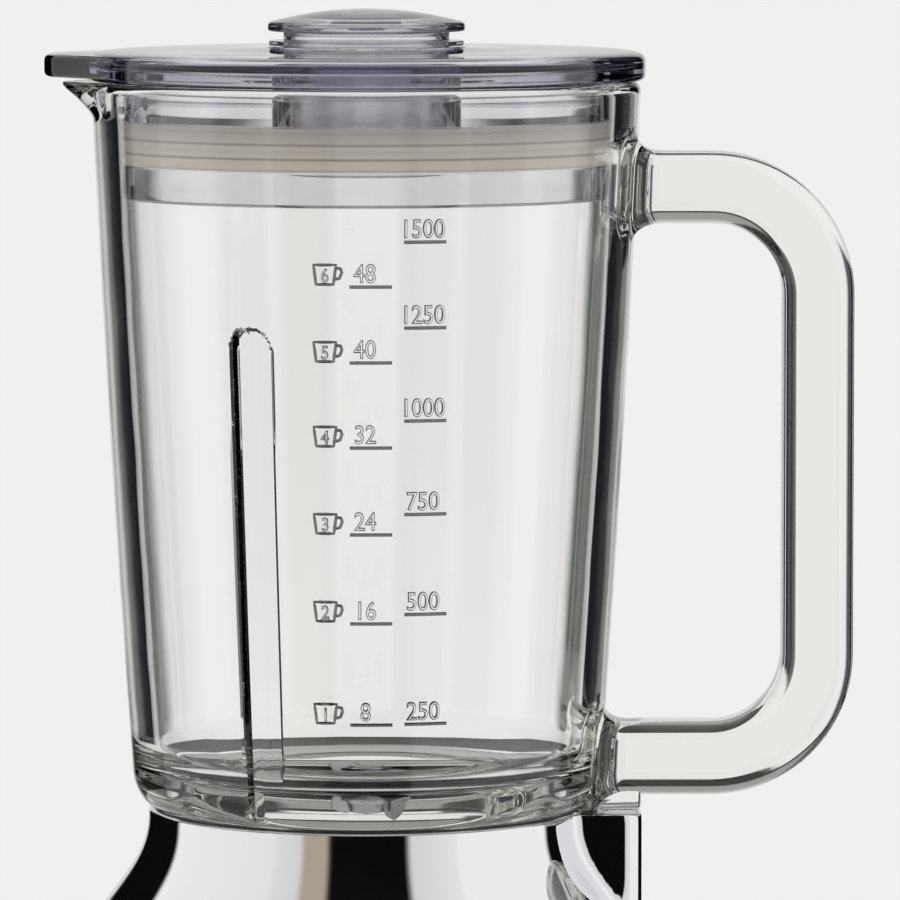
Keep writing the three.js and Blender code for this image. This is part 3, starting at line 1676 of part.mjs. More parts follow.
function bottomCover() {
  const rimOuter = shellInner - cover.rimOuterGap;
  const plate = revolve([
    [0, cover.bottom],
    [coverRadius, cover.bottom],
    [coverRadius, coverTop],
    [rimOuter, coverTop],
    [rimOuter, cover.rimTop],
    [rimOuter - cover.rimWall, cover.rimTop],
    [rimOuter - cover.rimWall, coverTop],
    [0, coverTop],
  ], largeSides);
  const rails = [-1, 1].map((side) => {
    const middle = side * (board.halfWidth + fit - board.grooveDepth + board.railSize / 2);
    const front = -boardFront - (board.railSize - board.thickness) / 2;
    return block(
      [middle - board.railSize / 2, front, coverTop - overrun],
      [middle + board.railSize / 2, front + board.railSize, board.railTop],
    );
  });
  const groove = block(
    [-board.halfWidth - fit, -boardFront - fit, board.bottom - fit],
    [board.halfWidth + fit, board.thickness - boardFront + fit, board.railTop + overrun],
  );
  const vents = around(cover.ventCount, 1).map(([, , angle]) => block(
    [cover.ventInner, -cover.ventWidth / 2, cover.bottom - overrun],
    [cover.ventOuter, cover.ventWidth / 2, coverTop + overrun],
  ).rotateZ(angle));
  const sinkTop = cover.bottom + screw.recess + screw.headHeight + fit;
  const screwHoles = around(cornerCount, screwReach, eighthTurn).flatMap(([x, y]) => [
    cylinder(screw.headRadius + fit, cover.bottom - overrun, sinkTop, tinySides).translate(x, y, 0),
    cylinder(screw.shankRadius + fit, cover.bottom, coverTop + overrun, tinySides).translate(x, y, 0),
  ]);
  const footPockets = around(cornerCount, footReach, eighthTurn).flatMap(([x, y]) => [
    cylinder(foot.radius + fit, cover.bottom - overrun, foot.height + fit, smallSides).translate(x, y, 0),
    cylinder(foot.studRadius + fit, cover.bottom, coverTop + overrun, tinySides).translate(x, y, 0),
  ]);
  return cut(join(plate, ...rails), groove, ...vents, ...screwHoles, ...footPockets);
}
addPiece(base, 'bottom_cover', bottomCover(), look.blackPlastic());

const cornerNames = ['rear_right', 'rear_left', 'front_left', 'front_right'];
around(cornerCount, screwReach, eighthTurn).forEach(([x, y], i) => {
  const headBottom = cover.bottom + screw.recess;
  addPiece(base, `cover_screw_${cornerNames[i]}`, revolve([
    [0, headBottom],
    [screw.headRadius, headBottom],
    [screw.headRadius, headBottom + screw.headHeight],
    [screw.shankRadius, headBottom + screw.headHeight],
    [screw.shankRadius, screw.tip],
    [0, screw.tip],
  ], tinySides).translate(x, y, 0), look.steel());
});

around(cornerCount, footReach, eighthTurn).forEach(([x, y], i) => {
  const headBottom = coverTop + fit;
  addPiece(base, `foot_${cornerNames[i]}`, revolve([
    [0, 0],
    [foot.radius, 0],
    [foot.radius, foot.height],
    [foot.studRadius, foot.height],
    [foot.studRadius, headBottom],
    [foot.studHeadRadius, headBottom],
    [foot.studHeadRadius, headBottom + foot.studHeadHeight],
    [0, headBottom + foot.studHeadHeight],
  ], smallSides).translate(x, y, 0), look.rubber());
});

// The gland at the back: an outside flange and an inside nut on one spigot, with the cord's bore through it

const nutOuter = -(housing.wall + 2 * fit + sagitta(shellInner, gland.nutRadius));
addPiece(glandGroup, 'cord_gland', revolve([
  [gland.boreRadius, nutOuter - gland.nutThickness],
  [gland.nutRadius, nutOuter - gland.nutThickness],
  [gland.nutRadius, nutOuter],
  [gland.spigotRadius, nutOuter],
  [gland.spigotRadius, gland.standOff],
  [gland.flangeRadius, gland.standOff],
  [gland.flangeRadius, gland.standOff + gland.flangeThickness - gland.edgeRounding],
  [gland.flangeRadius - gland.edgeRounding, gland.standOff + gland.flangeThickness],
  [gland.boreRadius, gland.standOff + gland.flangeThickness],
], smallSides, true), look.rubber());

export default blender;
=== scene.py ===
import math

import bpy
from mathutils import Matrix, Vector


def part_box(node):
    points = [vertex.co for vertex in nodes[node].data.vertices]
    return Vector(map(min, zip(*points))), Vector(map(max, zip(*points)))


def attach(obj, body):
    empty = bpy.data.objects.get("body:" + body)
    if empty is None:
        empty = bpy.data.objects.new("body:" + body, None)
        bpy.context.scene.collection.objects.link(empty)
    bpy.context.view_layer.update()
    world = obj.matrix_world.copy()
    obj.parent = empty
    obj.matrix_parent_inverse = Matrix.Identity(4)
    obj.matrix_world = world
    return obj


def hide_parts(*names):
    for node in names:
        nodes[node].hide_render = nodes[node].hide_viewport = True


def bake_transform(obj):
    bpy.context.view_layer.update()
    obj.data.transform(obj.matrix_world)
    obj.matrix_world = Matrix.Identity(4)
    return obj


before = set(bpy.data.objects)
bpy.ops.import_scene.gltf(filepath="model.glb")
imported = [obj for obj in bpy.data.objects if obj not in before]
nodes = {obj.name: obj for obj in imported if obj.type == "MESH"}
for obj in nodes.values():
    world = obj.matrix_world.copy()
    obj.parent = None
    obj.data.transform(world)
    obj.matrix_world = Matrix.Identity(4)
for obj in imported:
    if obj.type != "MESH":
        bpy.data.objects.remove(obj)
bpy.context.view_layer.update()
MM = 0.001
DEGREE = math.pi / 180
QUARTER_TURN = math.pi / 2
FULL_TURN = 2 * math.pi
bpy.context.scene.view_settings.view_transform = "Standard"


# Camera: a long lens just above the height of the lid, aimed at the middle of the jug, level with no roll.
CAMERA_LENS = 305.6
CAMERA_SENSOR = 36
CAMERA_PLACE = (0.0208, -1.90307, 0.42675)
CAMERA_TILT = 85.12 * DEGREE

bpy.ops.object.select_all(action="DESELECT")
bpy.ops.object.camera_add(location=CAMERA_PLACE, rotation=(CAMERA_TILT, 0, 0))
camera = bpy.context.object
camera.data.lens = CAMERA_LENS
camera.data.sensor_width = CAMERA_SENSOR
bpy.context.scene.camera = camera


# The studio: one pale room. Plain surfaces get an even soft light, brighter from above. Polished metal
# and the glass also see the long black cards and soft boxes that stand round a set for shiny goods.
PALE = "f0f0ee"
CARD_BLACK = "0b0b0c"
CARD_GREY = "dedede"
SOFTBOX = "ffffff"
WARM_STRIP = "b9ab9a"
CARD_EDGE = 0.7
METAL_CARDS = [
    (-82, CARD_GREY, CARD_BLACK), (-58, CARD_BLACK, SOFTBOX), (-24, "f4f4f4", "ececec"),
    (-16.5, "e2e2e2", WARM_STRIP), (-9.7, WARM_STRIP, CARD_BLACK), (11, CARD_BLACK, "e2e2e2"),
    (24, "f4f4f4", SOFTBOX), (54, SOFTBOX, CARD_BLACK), (82, CARD_BLACK, CARD_GREY),
]
CEILING = (0.95, 0.99)
CEILING_TONE = "e8e8e8"
BACK_CARD = (160 * DEGREE, 170 * DEGREE)
SCREEN_LOW = (-0.25, -0.19)
SCREEN_HIGH = (0.64, 0.5)
SCREEN_BLACK = "1b1c20"
SCREEN_SPAN = 90
GLASS_SCREENS = [
    (-45, "dededc"), (-42.5, "dcdcdc"), (-41.5, SCREEN_BLACK), (-24, SCREEN_BLACK), (-15, "5d6459"),
    (-12.5, PALE), (15.5, PALE), (19, "a4a6a8"), (22, "3a3b3d"), (24, SCREEN_BLACK), (42, SCREEN_BLACK),
    (43.5, "b4b4b4"), (45, "b4b4b4"),
]
GLASS_LEVELS = [
    (0.1, SOFTBOX), (0.112, "141614"), (0.148, "141614"), (0.17, "9c9c9a"), (0.45, "a8a8a6"), (0.7, "e0e0de"),
]
LIGHT_LEVEL = 0.6
LIGHT_RISE = 0.6
LIGHT_PATHS = 28

# Settings of the nodes used most, and the numbers of their sockets
COLOURS = {"data_type": "RGBA"}
SOFTLY = {"interpolation_type": "SMOOTHSTEP"}
SHARE, FROM, TO, MIXED = 0, 6, 7, 2
LOW, HIGH, NEW_LOW, NEW_HIGH = 1, 2, 3, 4


def tone(code):
    """An sRGB hex colour as a linear one."""
    channels = [int(code[i:i + 2], 16) / 255 for i in (0, 2, 4)]
    return (*[c / 12.92 if c <= 0.04045 else ((c + 0.055) / 1.055) ** 2.4 for c in channels], 1.0)


def add_node(tree, kind, settings=(), inputs=(), output=0):
    """Adds a shader node with its settings and its inputs, as values or as the sockets that feed them.
    Gives back one of its outputs."""
    made = tree.nodes.new(f"ShaderNode{kind}")
    for name, value in dict(settings).items():
        setattr(made, name, value)
    for name, value in dict(inputs).items():
        if isinstance(value, bpy.types.NodeSocket):
            tree.links.new(value, made.inputs[name])
        else:
            made.inputs[name].default_value = value
    return made.outputs[output] if made.outputs else None


def set_stops(ramp, stops, low=0, high=1):
    """Gives a colour ramp that spans low to high its stops, as pairs of place and hex colour."""
    elements = ramp.color_ramp.elements
    while len(elements) > 1:
        elements.remove(elements[-1])
    for i, (place, code) in enumerate(stops):
        position = (place - low) / (high - low)
        element = elements[0] if i == 0 else elements.new(position)
        element.position = position
        element.color = tone(code)


def studio_world():
    world = bpy.data.worlds.new("pale studio")
    bpy.context.scene.world = world
    world.use_nodes = True
    tree = world.node_tree
    tree.nodes.clear()
    direction = add_node(tree, "TexCoord", output="Generated")
    right, depth, rise = add_node(tree, "SeparateXYZ", inputs={0: direction}).node.outputs
    front = add_node(tree, "Math", {"operation": "MULTIPLY"}, {0: depth, 1: -1.0})
    round_angle = add_node(tree, "Math", {"operation": "ARCTAN2"}, {0: right, 1: front})
    turned_away = add_node(tree, "Math", {"operation": "ABSOLUTE"}, {0: round_angle})
    ceiling, behind, above_low, below_high = [
        add_node(tree, "MapRange", SOFTLY, {0: value, LOW: start, HIGH: end})
        for value, (start, end) in (
            (rise, CEILING), (turned_away, BACK_CARD), (rise, SCREEN_LOW), (rise, SCREEN_HIGH),
        )
    ]

    # What polished metal sees: cards that stand like a fan about the back of the room, so that each
    # mirrors in one upright strip of a round wall, whatever the wall's slope. A pale card hangs where
    # the two ends of the fan meet
    fan_front = add_node(tree, "Math", {"operation": "ADD"}, {0: front, 1: 1.0})
    fan_angle = add_node(tree, "Math", {"operation": "ARCTAN2"}, {0: right, 1: fan_front})
    turn = add_node(tree, "MapRange", inputs={0: fan_angle, LOW: -QUARTER_TURN, HIGH: QUARTER_TURN})
    cards = add_node(tree, "ValToRGB", inputs={0: turn})
    stops = []
    for place, before, after in METAL_CARDS:
        stops += [(place - CARD_EDGE, before), (place + CARD_EDGE, after)]
    set_stops(cards.node, stops, -90, 90)
    fan = add_node(tree, "Mix", COLOURS, {SHARE: behind, FROM: cards, TO: tone(CARD_GREY)}, MIXED)
    seen_by_metal = add_node(tree, "Mix", COLOURS, {SHARE: ceiling, FROM: fan, TO: tone(CEILING_TONE)}, MIXED)

    # What the light that leaves the glass came from, by the angle off the nearest of the four sides:
    # a pale screen on each side, a black card, a thin soft box and black again at the corners
    span = SCREEN_SPAN * DEGREE
    shifted = add_node(tree, "Math", {"operation": "ADD"}, {0: round_angle, 1: span / 2 + FULL_TURN})
    off_side = add_node(tree, "Math", {"operation": "MODULO"}, {0: shifted, 1: span})
    screens = add_node(tree, "ValToRGB", inputs={
        0: add_node(tree, "MapRange", inputs={0: off_side, HIGH: span}),
    })
    set_stops(screens.node, GLASS_SCREENS, -SCREEN_SPAN / 2, SCREEN_SPAN / 2)
    band = add_node(tree, "Math", {"operation": "MULTIPLY"}, {0: above_low, 1: below_high})
    walls = add_node(tree, "Mix", COLOURS, {SHARE: band, FROM: tone(PALE), TO: screens}, MIXED)
    dim = add_node(tree, "ValToRGB", inputs={
        0: add_node(tree, "MapRange", inputs={0: rise, LOW: -1.0, HIGH: 1.0}),
    })
    set_stops(dim.node, GLASS_LEVELS, -1, 1)
    seen_by_glass = add_node(
        tree, "Mix", {**COLOURS, "blend_type": "MULTIPLY"}, {SHARE: 1.0, FROM: walls, TO: dim}, MIXED
    )

    # The light on plain surfaces
    level = add_node(tree, "Math", {"operation": "MULTIPLY_ADD"}, {0: rise, 1: LIGHT_RISE, 2: LIGHT_LEVEL})
    plain = add_node(tree, "CombineColor", inputs={channel: level for channel in range(3)})
    colour = plain
    for ray, seen in (
        ("Is Glossy Ray", seen_by_metal), ("Is Transmission Ray", seen_by_glass),
        ("Diffuse Depth", plain), ("Is Camera Ray", tone(PALE)),
    ):
        is_ray = add_node(tree, "LightPath", output=ray)
        colour = add_node(tree, "Mix", COLOURS, {SHARE: is_ray, FROM: colour, TO: seen}, MIXED)
    background = add_node(tree, "Background", inputs={"Color": colour})
    add_node(tree, "OutputWorld", inputs={"Surface": background})


studio_world()
bpy.context.scene.cycles.max_bounces = LIGHT_PATHS
bpy.context.scene.cycles.transmission_bounces = LIGHT_PATHS
bpy.context.scene.cycles.glossy_bounces = LIGHT_PATHS // 2


# The floor: a round matt board, as pale as the room behind it, so that its edge doesn't show.
FLOOR_RADIUS = 0.6
FLOOR_SIDES = 128
MATT = {"Roughness": 0.9, "Specular IOR Level": 0.0}


def new_material(name):
    """A bare material, its node tree and the coordinates of the piece that it is on."""
    material = bpy.data.materials.new(name)
    material.use_nodes = True
    tree = material.node_tree
    tree.nodes.clear()
    return material, tree, add_node(tree, "TexCoord", output="Object")


def mottled(name, tint=None, rough=None, relief=None, finish=()):
    """A material whose tint, roughness and relief each follow a noise. Each gives the noise's grain in
    millimetres and its detail, and then two colours, two levels or a depth in millimetres."""
    material, tree, place = new_material(name)
    noises = {}
    for grain, detail in {part[:2] for part in (tint, rough, relief) if part}:
        noises[grain, detail] = add_node(tree, "TexNoise", inputs={
            "Vector": place, "Scale": 1 / (grain * MM), "Detail": detail,
        })
    looks = dict(finish)
    if tint:
        dark, pale = [tone(code) for code in tint[2:]]
        looks["Base Color"] = add_node(
            tree, "Mix", COLOURS, {SHARE: noises[tint[:2]], FROM: dark, TO: pale}, MIXED
        )
    if rough:
        least, most = rough[2:]
        looks["Roughness"] = add_node(
            tree, "MapRange", inputs={0: noises[rough[:2]], NEW_LOW: least, NEW_HIGH: most}
        )
    if relief:
        looks["Normal"] = add_node(
            tree, "Bump", inputs={"Height": noises[relief[:2]], "Distance": relief[2] * MM}
        )
    shader = add_node(tree, "BsdfPrincipled", inputs=looks)
    add_node(tree, "OutputMaterial", inputs={"Surface": shader})
    return material


def laid_round(name, radius, height, material):
    """A round sheet laid flat about the drive axis, with its sizes in metres."""
    bpy.ops.object.select_all(action="DESELECT")
    bpy.ops.mesh.primitive_circle_add(
        vertices=FLOOR_SIDES, radius=radius, fill_type="NGON", location=(0, 0, height)
    )
    sheet = bpy.context.object
    sheet.name = name
    sheet.data.materials.append(material)
    return sheet


floor = laid_round("floor", FLOOR_RADIUS, 0, mottled(
    "matt painted sweep", tint=(240, 2, "eeeeec", "f1f1ef"), finish=MATT,
))


# The flag: a round of dark olive felt laid under the blender. It is set so that only the glass sees it, which
# gives the jug's heel and the edges of its handle their dark lines and leaves the floor pale.
FLAG_RADIUS = 0.36
FLAG_HEIGHT = 0.0005

flag = laid_round("flag", FLAG_RADIUS, FLAG_HEIGHT, mottled(
    "olive felt", tint=(3, 3, "2b2e27", "34372f"), finish={**MATT, "Roughness": 1.0},
))
flag.visible_camera = False
flag.visible_diffuse = False
flag.visible_glossy = False
flag.visible_shadow = False


# The feet: four moulded rubber buttons that plug into the bottom cover and keep the base from creeping.
# Moulded EPDM is matt and almost black, with a fine grey bloom.
FOOT_RADIUS = 10
FOOT_STUD_RADIUS = 2.5
FOOT_HEIGHT = 3.7
FOOT_STUD_TOP = 8
FOOT_REACH = 72
CLOSE = 0.002
CORNERS = {"rear_right": 45, "rear_left": 135, "front_left": 225, "front_right": 315}

# How far moulded and turned edges are rounded
FAINT = 0.15
KEEN = 0.2
FINE = 0.3
SMALL = 0.4
PLAIN = 0.5
MILD = 0.6
SOFT = 0.8
ROUND = 0.9
WIDE = 1.0
BROAD = 1.1
FULL = 1.2


def soft_outline(corners, steps=4):
    """An outline of (radius, height) with each corner cut back by its third number and rounded."""
    spots = []
    count = len(corners)
    for i, corner in enumerate(corners):
        here = Vector(corner[:2])
        cut = corner[2] if len(corner) > 2 else 0
        if cut == 0:
            spots.append(here)
            continue
        before = (Vector(corners[i - 1][:2]) - here).normalized()
        after = (Vector(corners[(i + 1) % count][:2]) - here).normalized()
        for k in range(steps + 1):
            share = k / steps
            spots.append(here + before * cut * (1 - share) ** 2 + after * cut * share ** 2)
    return [(spot.x, spot.y) for spot in spots]


def point_by_point(name, spots, closes):
    """Extrudes a piece from one corner, spot by spot, in millimetres. Edit mode stays on."""
    bpy.ops.object.select_all(action="DESELECT")
    bpy.ops.mesh.primitive_plane_add(size=MM)
    piece = bpy.context.object
    piece.name = name
    piece.data.name = name
    bpy.ops.object.mode_set(mode="EDIT")
    bpy.ops.mesh.select_all(action="SELECT")
    bpy.ops.mesh.merge(type="CENTER")
    bpy.ops.transform.translate(value=Vector(spots[0]) * MM)
    route = list(spots[1:]) + ([spots[0]] if closes else [])
    last = Vector(spots[0])
    for spot in route:
        step = (Vector(spot) - last) * MM
        bpy.ops.mesh.extrude_vertices_move(TRANSFORM_OT_translate={"value": step})
        last = Vector(spot)
    bpy.ops.mesh.select_all(action="SELECT")
    bpy.ops.mesh.remove_doubles(threshold=CLOSE * MM)
    return piece


def finish_mesh():
    """Merges what lies together, turns all faces outwards and goes back to object mode."""
    bpy.ops.mesh.select_all(action="SELECT")
    bpy.ops.mesh.remove_doubles(threshold=CLOSE * MM)
    bpy.ops.mesh.normals_make_consistent(inside=False)
    bpy.ops.object.mode_set(mode="OBJECT")


def turned(name, corners, sides=128, steps=4):
    """A piece turned about the drive axis from a section of (radius, height, rounding) in millimetres. The
    section closes on itself where it doesn't start on the axis."""
    spots = [(radius, 0, height) for radius, height in soft_outline(corners, steps)]
    piece = point_by_point(name, spots, closes=corners[0][0] > 0)
    bpy.ops.mesh.spin(steps=sides, angle=FULL_TURN, center=(0, 0, 0), axis=(0, 0, 1))
    finish_mesh()
    return piece


def make_active(piece):
    bpy.ops.object.select_all(action="DESELECT")
    piece.select_set(True)
    bpy.context.view_layer.objects.active = piece


def polar(radius, angle, height=0):
    """A place by its distance from the drive axis and its angle from the handle's side."""
    return radius * math.cos(angle), radius * math.sin(angle), height


def place_at(piece, place=(0, 0, 0), turn=None):
    """Moves a piece's mesh to its place in millimetres, after a turn. Its object stays at the origin."""
    matrix = Matrix.Translation(Vector(place) * MM)
    if turn is not None:
        matrix = matrix @ turn
    piece.data.transform(matrix)
    piece.data.update()


def dressed(piece, material, angle, place=(0, 0, 0), turn=None):
    """Smooths a piece where its faces meet within an angle, and gives it its place and material."""
    if angle:
        make_active(piece)
        bpy.ops.object.shade_smooth_by_angle(angle=angle * DEGREE)
    place_at(piece, place, turn)
    piece.data.materials.clear()
    piece.data.materials.append(material)


def finished(piece, body, slot, material, *replaced, angle=35, place=(0, 0, 0), turn=None):
    """Dresses a piece, sets it on its body and hides the nodes that it stands for."""
    dressed(piece, material, angle, place, turn)
    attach(piece, body)
    if replaced:
        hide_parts(*replaced)


def at_corners(pattern, reach, node, suffix, slot, material):
    """Sets a copy of a pattern at each corner of the base."""
    for corner, degrees in CORNERS.items():
        one = pattern.copy()
        one.data = pattern.data.copy()
        one.name = f"{node}_{corner}_{suffix}"
        bpy.context.collection.objects.link(one)
        finished(one, "base", slot, material, f"{node}_{corner}", place=polar(reach, degrees * DEGREE))
    bpy.data.objects.remove(pattern)


def dress(material, *names):
    """Gives CAD nodes that keep their shape a material."""
    for name in names:
        nodes[name].data.materials.clear()
        nodes[name].data.materials.append(material)


rubber = mottled(
    "moulded EPDM rubber", tint=(6, 2, "18181a", "242426"), rough=(0.7, 3, 0.6, 0.8), relief=(0.7, 3, 0.05)
)
foot = turned("foot_rear_right_rubber", [
    (0, 0), (FOOT_RADIUS, 0, ROUND), (FOOT_RADIUS, FOOT_HEIGHT, FINE), (FOOT_STUD_RADIUS, FOOT_HEIGHT),
    (FOOT_STUD_RADIUS, FOOT_STUD_TOP, SMALL), (0, FOOT_STUD_TOP),
], sides=64)
at_corners(foot, FOOT_REACH, "foot", "rubber", "rubber", rubber)


# The bottom cover: one black ABS moulding with its vents, held up into the shell by four screws.
# ABS with a fine spark-eroded grain is a soft black that hardly shines.
COVER_BOTTOM = 2
COVER_RADIUS = 96.5
COVER_TOP = 5.7
COVER_RIM_RADIUS = 94.7
COVER_RIM_WALL = 1.7
COVER_RIM_TOP = 12
VENT_COUNT = 12
VENT_INNER = 18
VENT_OUTER = 40
VENT_WIDTH = 4
VENT_ROUNDING = 1.9
SCREW_REACH = 90.5
SCREW_HEAD_RADIUS = 3.4
SCREW_HEAD_BOTTOM = 2.4
SCREW_HEAD_TOP = 4.4
SCREW_SHANK = 1.5
SCREW_TIP = 26
SCREW_POINT = 1.5
SCREW_CROSS = (1.9, 0.45, 1.2)
FIT = 0.3
PAST = 1


def post(name, radius, bottom, top, sides=48):
    """A round bar on the drive axis, for cutting or joining."""
    return turned(name, [(0, bottom), (radius, bottom), (radius, top), (0, top)], sides)


def cut_with(piece, tool, operation="DIFFERENCE"):
    """Cuts or joins a piece with another, which is used up."""
    make_active(piece)
    change = piece.modifiers.new("cut", "BOOLEAN")
    change.operation = operation
    change.object = tool
    change.solver = "MANIFOLD"
    bpy.ops.object.modifier_apply(modifier=change.name)
    bpy.data.objects.remove(tool)


def block(name, low, high):
    """A block between two corners in millimetres."""
    bpy.ops.object.select_all(action="DESELECT")
    bpy.ops.mesh.primitive_cube_add(size=1)
    piece = bpy.context.object
    piece.name = name
    size = [(top - bottom) * MM for bottom, top in zip(low, high)]
    middle = [(top + bottom) / 2 for bottom, top in zip(low, high)]
    place_at(piece, middle, Matrix.Diagonal((*size, 1)))
    return piece


def round_edges(piece, width, segments=3, angle=40):
    """Rounds the edges of a piece that are sharper than an angle."""
    make_active(piece)
    change = piece.modifiers.new("rounding", "BEVEL")
    change.width = width * MM
    change.segments = segments
    change.limit_method = "ANGLE"
    change.angle_limit = angle * DEGREE
    change.use_clamp_overlap = True
    bpy.ops.object.modifier_apply(modifier=change.name)


black_abs = mottled(
    "spark-grained black ABS",
    tint=(18, 2, "151516", "1e1e20"), rough=(18, 2, 0.42, 0.5), relief=(0.5, 4, 0.04),
)
rim_inner = COVER_RIM_RADIUS - COVER_RIM_WALL
bottom_cover = turned("bottom_cover_abs", [
    (0, COVER_BOTTOM), (COVER_RADIUS, COVER_BOTTOM, SOFT), (COVER_RADIUS, COVER_TOP),
    (COVER_RIM_RADIUS, COVER_TOP), (COVER_RIM_RADIUS, COVER_RIM_TOP), (rim_inner, COVER_RIM_TOP),
    (rim_inner, COVER_TOP), (0, COVER_TOP),
], sides=192)
for i in range(VENT_COUNT):
    vent = block(
        "vent", (VENT_INNER, -VENT_WIDTH / 2, COVER_BOTTOM - PAST),
        (VENT_OUTER, VENT_WIDTH / 2, COVER_TOP + PAST),
    )
    round_edges(vent, VENT_ROUNDING)
    place_at(vent, turn=Matrix.Rotation(i * FULL_TURN / VENT_COUNT, 4, "Z"))
    cut_with(bottom_cover, vent)
for degrees in CORNERS.values():
    for reach, radius, top in (
        (FOOT_REACH, FOOT_RADIUS, FOOT_HEIGHT + FIT), (FOOT_REACH, FOOT_STUD_RADIUS, COVER_TOP + PAST),
        (SCREW_REACH, SCREW_HEAD_RADIUS, SCREW_HEAD_TOP + FIT), (SCREW_REACH, SCREW_SHANK, COVER_TOP + PAST),
    ):
        pocket = post("pocket", radius + FIT, COVER_BOTTOM - PAST, top)
        place_at(pocket, polar(reach, degrees * DEGREE))
        cut_with(bottom_cover, pocket)
finished(bottom_cover, "base", "black_plastic", black_abs, "bottom_cover")


# The cover screws: zinc-plated pan-head screws with cross recesses, driven up into the shell's bosses.
# Bright zinc is a cool grey metal with a faint, finely mottled spangle.
def zinc_plate():
    material, tree, place = new_material("bright zinc plate")
    spangle = add_node(tree, "TexVoronoi", inputs={"Vector": place, "Scale": 1 / (1.6 * MM)})
    cloud = add_node(tree, "TexNoise", inputs={"Vector": place, "Scale": 1 / (5 * MM), "Detail": 4.0})
    shader = add_node(tree, "BsdfPrincipled", inputs={
        "Base Color": add_node(
            tree, "Mix", COLOURS, {SHARE: spangle, FROM: tone("b9bdc1"), TO: tone("9fa4a9")}, MIXED
        ),
        "Metallic": 1.0,
        "Roughness": add_node(tree, "MapRange", inputs={0: cloud, NEW_LOW: 0.26, NEW_HIGH: 0.42}),
    })
    add_node(tree, "OutputMaterial", inputs={"Surface": shader})
    return material


zinc = zinc_plate()
screw = turned("cover_screw_rear_right_zinc", [
    (0, SCREW_HEAD_BOTTOM), (SCREW_HEAD_RADIUS, SCREW_HEAD_BOTTOM, BROAD),
    (SCREW_HEAD_RADIUS, SCREW_HEAD_TOP), (SCREW_SHANK, SCREW_HEAD_TOP),
    (SCREW_SHANK, SCREW_TIP - SCREW_POINT), (0, SCREW_TIP),
], sides=48)
reach, half_width, depth = SCREW_CROSS
for half_x, half_y in ((reach, half_width), (half_width, reach)):
    slot = block(
        "slot", (-half_x, -half_y, SCREW_HEAD_BOTTOM - PAST), (half_x, half_y, SCREW_HEAD_BOTTOM + depth)
    )
    cut_with(screw, slot)
at_corners(screw, SCREW_REACH, "cover_screw", "zinc", "steel", zinc)


# The housing: a bell spun from sheet and plated in bright chrome, drawn out on the right into a tower
# under the jug's foot pad. The plate is a true mirror with only the faintest waviness of the spun metal.
SEAT_TOP = 174.7
NECK_RADIUS = 54.8
NECK_BORE = 53.3
WELL_HOLE = 51.6
WELL_FLANGE_SPACE = 1.6
SHOULDER = (70.0, 145.0)
SHOULDER_SLOPE = 35 * DEGREE
FLARE_PULLS = (11.7, 15.9)
FLARE_STEPS = 16
WAIST_DRAW = 0.4
BELL_PULLS = (24.4, 51.0)
BELL_STEPS = 28
SHELL_SIDES = 640
SKIRT_RADIUS = 97.5
SKIRT_TOP = 34
SKIRT_ROWS = (27, 20, 13, 7)
SHELL_BOTTOM = 6
SHELL_WALL = 2.5
SHELL_CEILING = 171
SHELL_CORNER = 2
TOWER_REACH = 68.6
TOWER_HALF_WIDTH = 18.5
TOWER_CORNER = 5
TOWER_BLEND = 5
LIP_ROUNDING = 0.9
LIP_STEP = 22.5 * DEGREE
HAIR = 0.01
PIN_REACH = 60.5
PIN_HOLE_RADIUS = 2.8
DIAL_FACE = 98.5
DIAL_HEIGHT = 64
BOSS_RADIUS = 30
BOSS_DEPTH = 20
PLATE_RECESS = (27.3, 1.7)
BUSHING_HOLE = 5.3
BUTTON_HEIGHT = 21
BUTTON_HOLE = 7.3
GLAND_HEIGHT = 30
GLAND_HOLE = 6.9
HOLE_REACH = 10
HOLE_PAST = 2
TO_FRONT = Matrix.Rotation(90 * DEGREE, 4, "X")
TO_REAR = Matrix.Rotation(-90 * DEGREE, 4, "X")
DIAL = (0, -DIAL_FACE, DIAL_HEIGHT)


def tower_radius(angle, inset):
    """How far the tower's outline lies from the drive axis at an angle from the handle's side."""
    turn = abs(angle)
    if turn >= QUARTER_TURN:
        return 0.0
    reach = TOWER_REACH - inset
    half_width = TOWER_HALF_WIDTH - inset
    corner = TOWER_CORNER - inset
    corner_x = reach - corner
    corner_y = half_width - corner
    if turn <= math.atan2(corner_y, reach):
        return reach / math.cos(turn)
    if turn >= math.atan2(half_width, corner_x):
        return half_width / math.sin(turn)
    along = corner_x * math.cos(turn) + corner_y * math.sin(turn)
    return along + math.sqrt(along ** 2 - corner_x ** 2 - corner_y ** 2 + corner ** 2)


def with_tower(radius, angle, inset):
    """A radius of the bell, or the tower's where that is larger, with a soft change between them."""
    tower = tower_radius(angle, inset)
    share = min(max((radius - tower + TOWER_BLEND) / (2 * TOWER_BLEND), 0), 1)
    return tower + (radius - tower) * share + TOWER_BLEND * share * (1 - share)


def curve(start, pull_start, pull_end, end, steps, inset):
    """Spots along a cubic curve, set in by an inset at right angles to it."""
    ends = [Vector(p) for p in (start, pull_start, pull_end, end)]
    spots = []
    for k in range(steps + 1):
        t = k / steps
        spot = (
            ends[0] * (1 - t) ** 3 + ends[1] * 3 * t * (1 - t) ** 2
            + ends[2] * 3 * t ** 2 * (1 - t) + ends[3] * t ** 3
        )
        along = (
            (ends[1] - ends[0]) * (1 - t) ** 2 + (ends[2] - ends[1]) * 2 * t * (1 - t)
            + (ends[3] - ends[2]) * t ** 2
        ).normalized()
        spots.append(spot - Vector((-along.y, along.x)) * inset)
    return spots


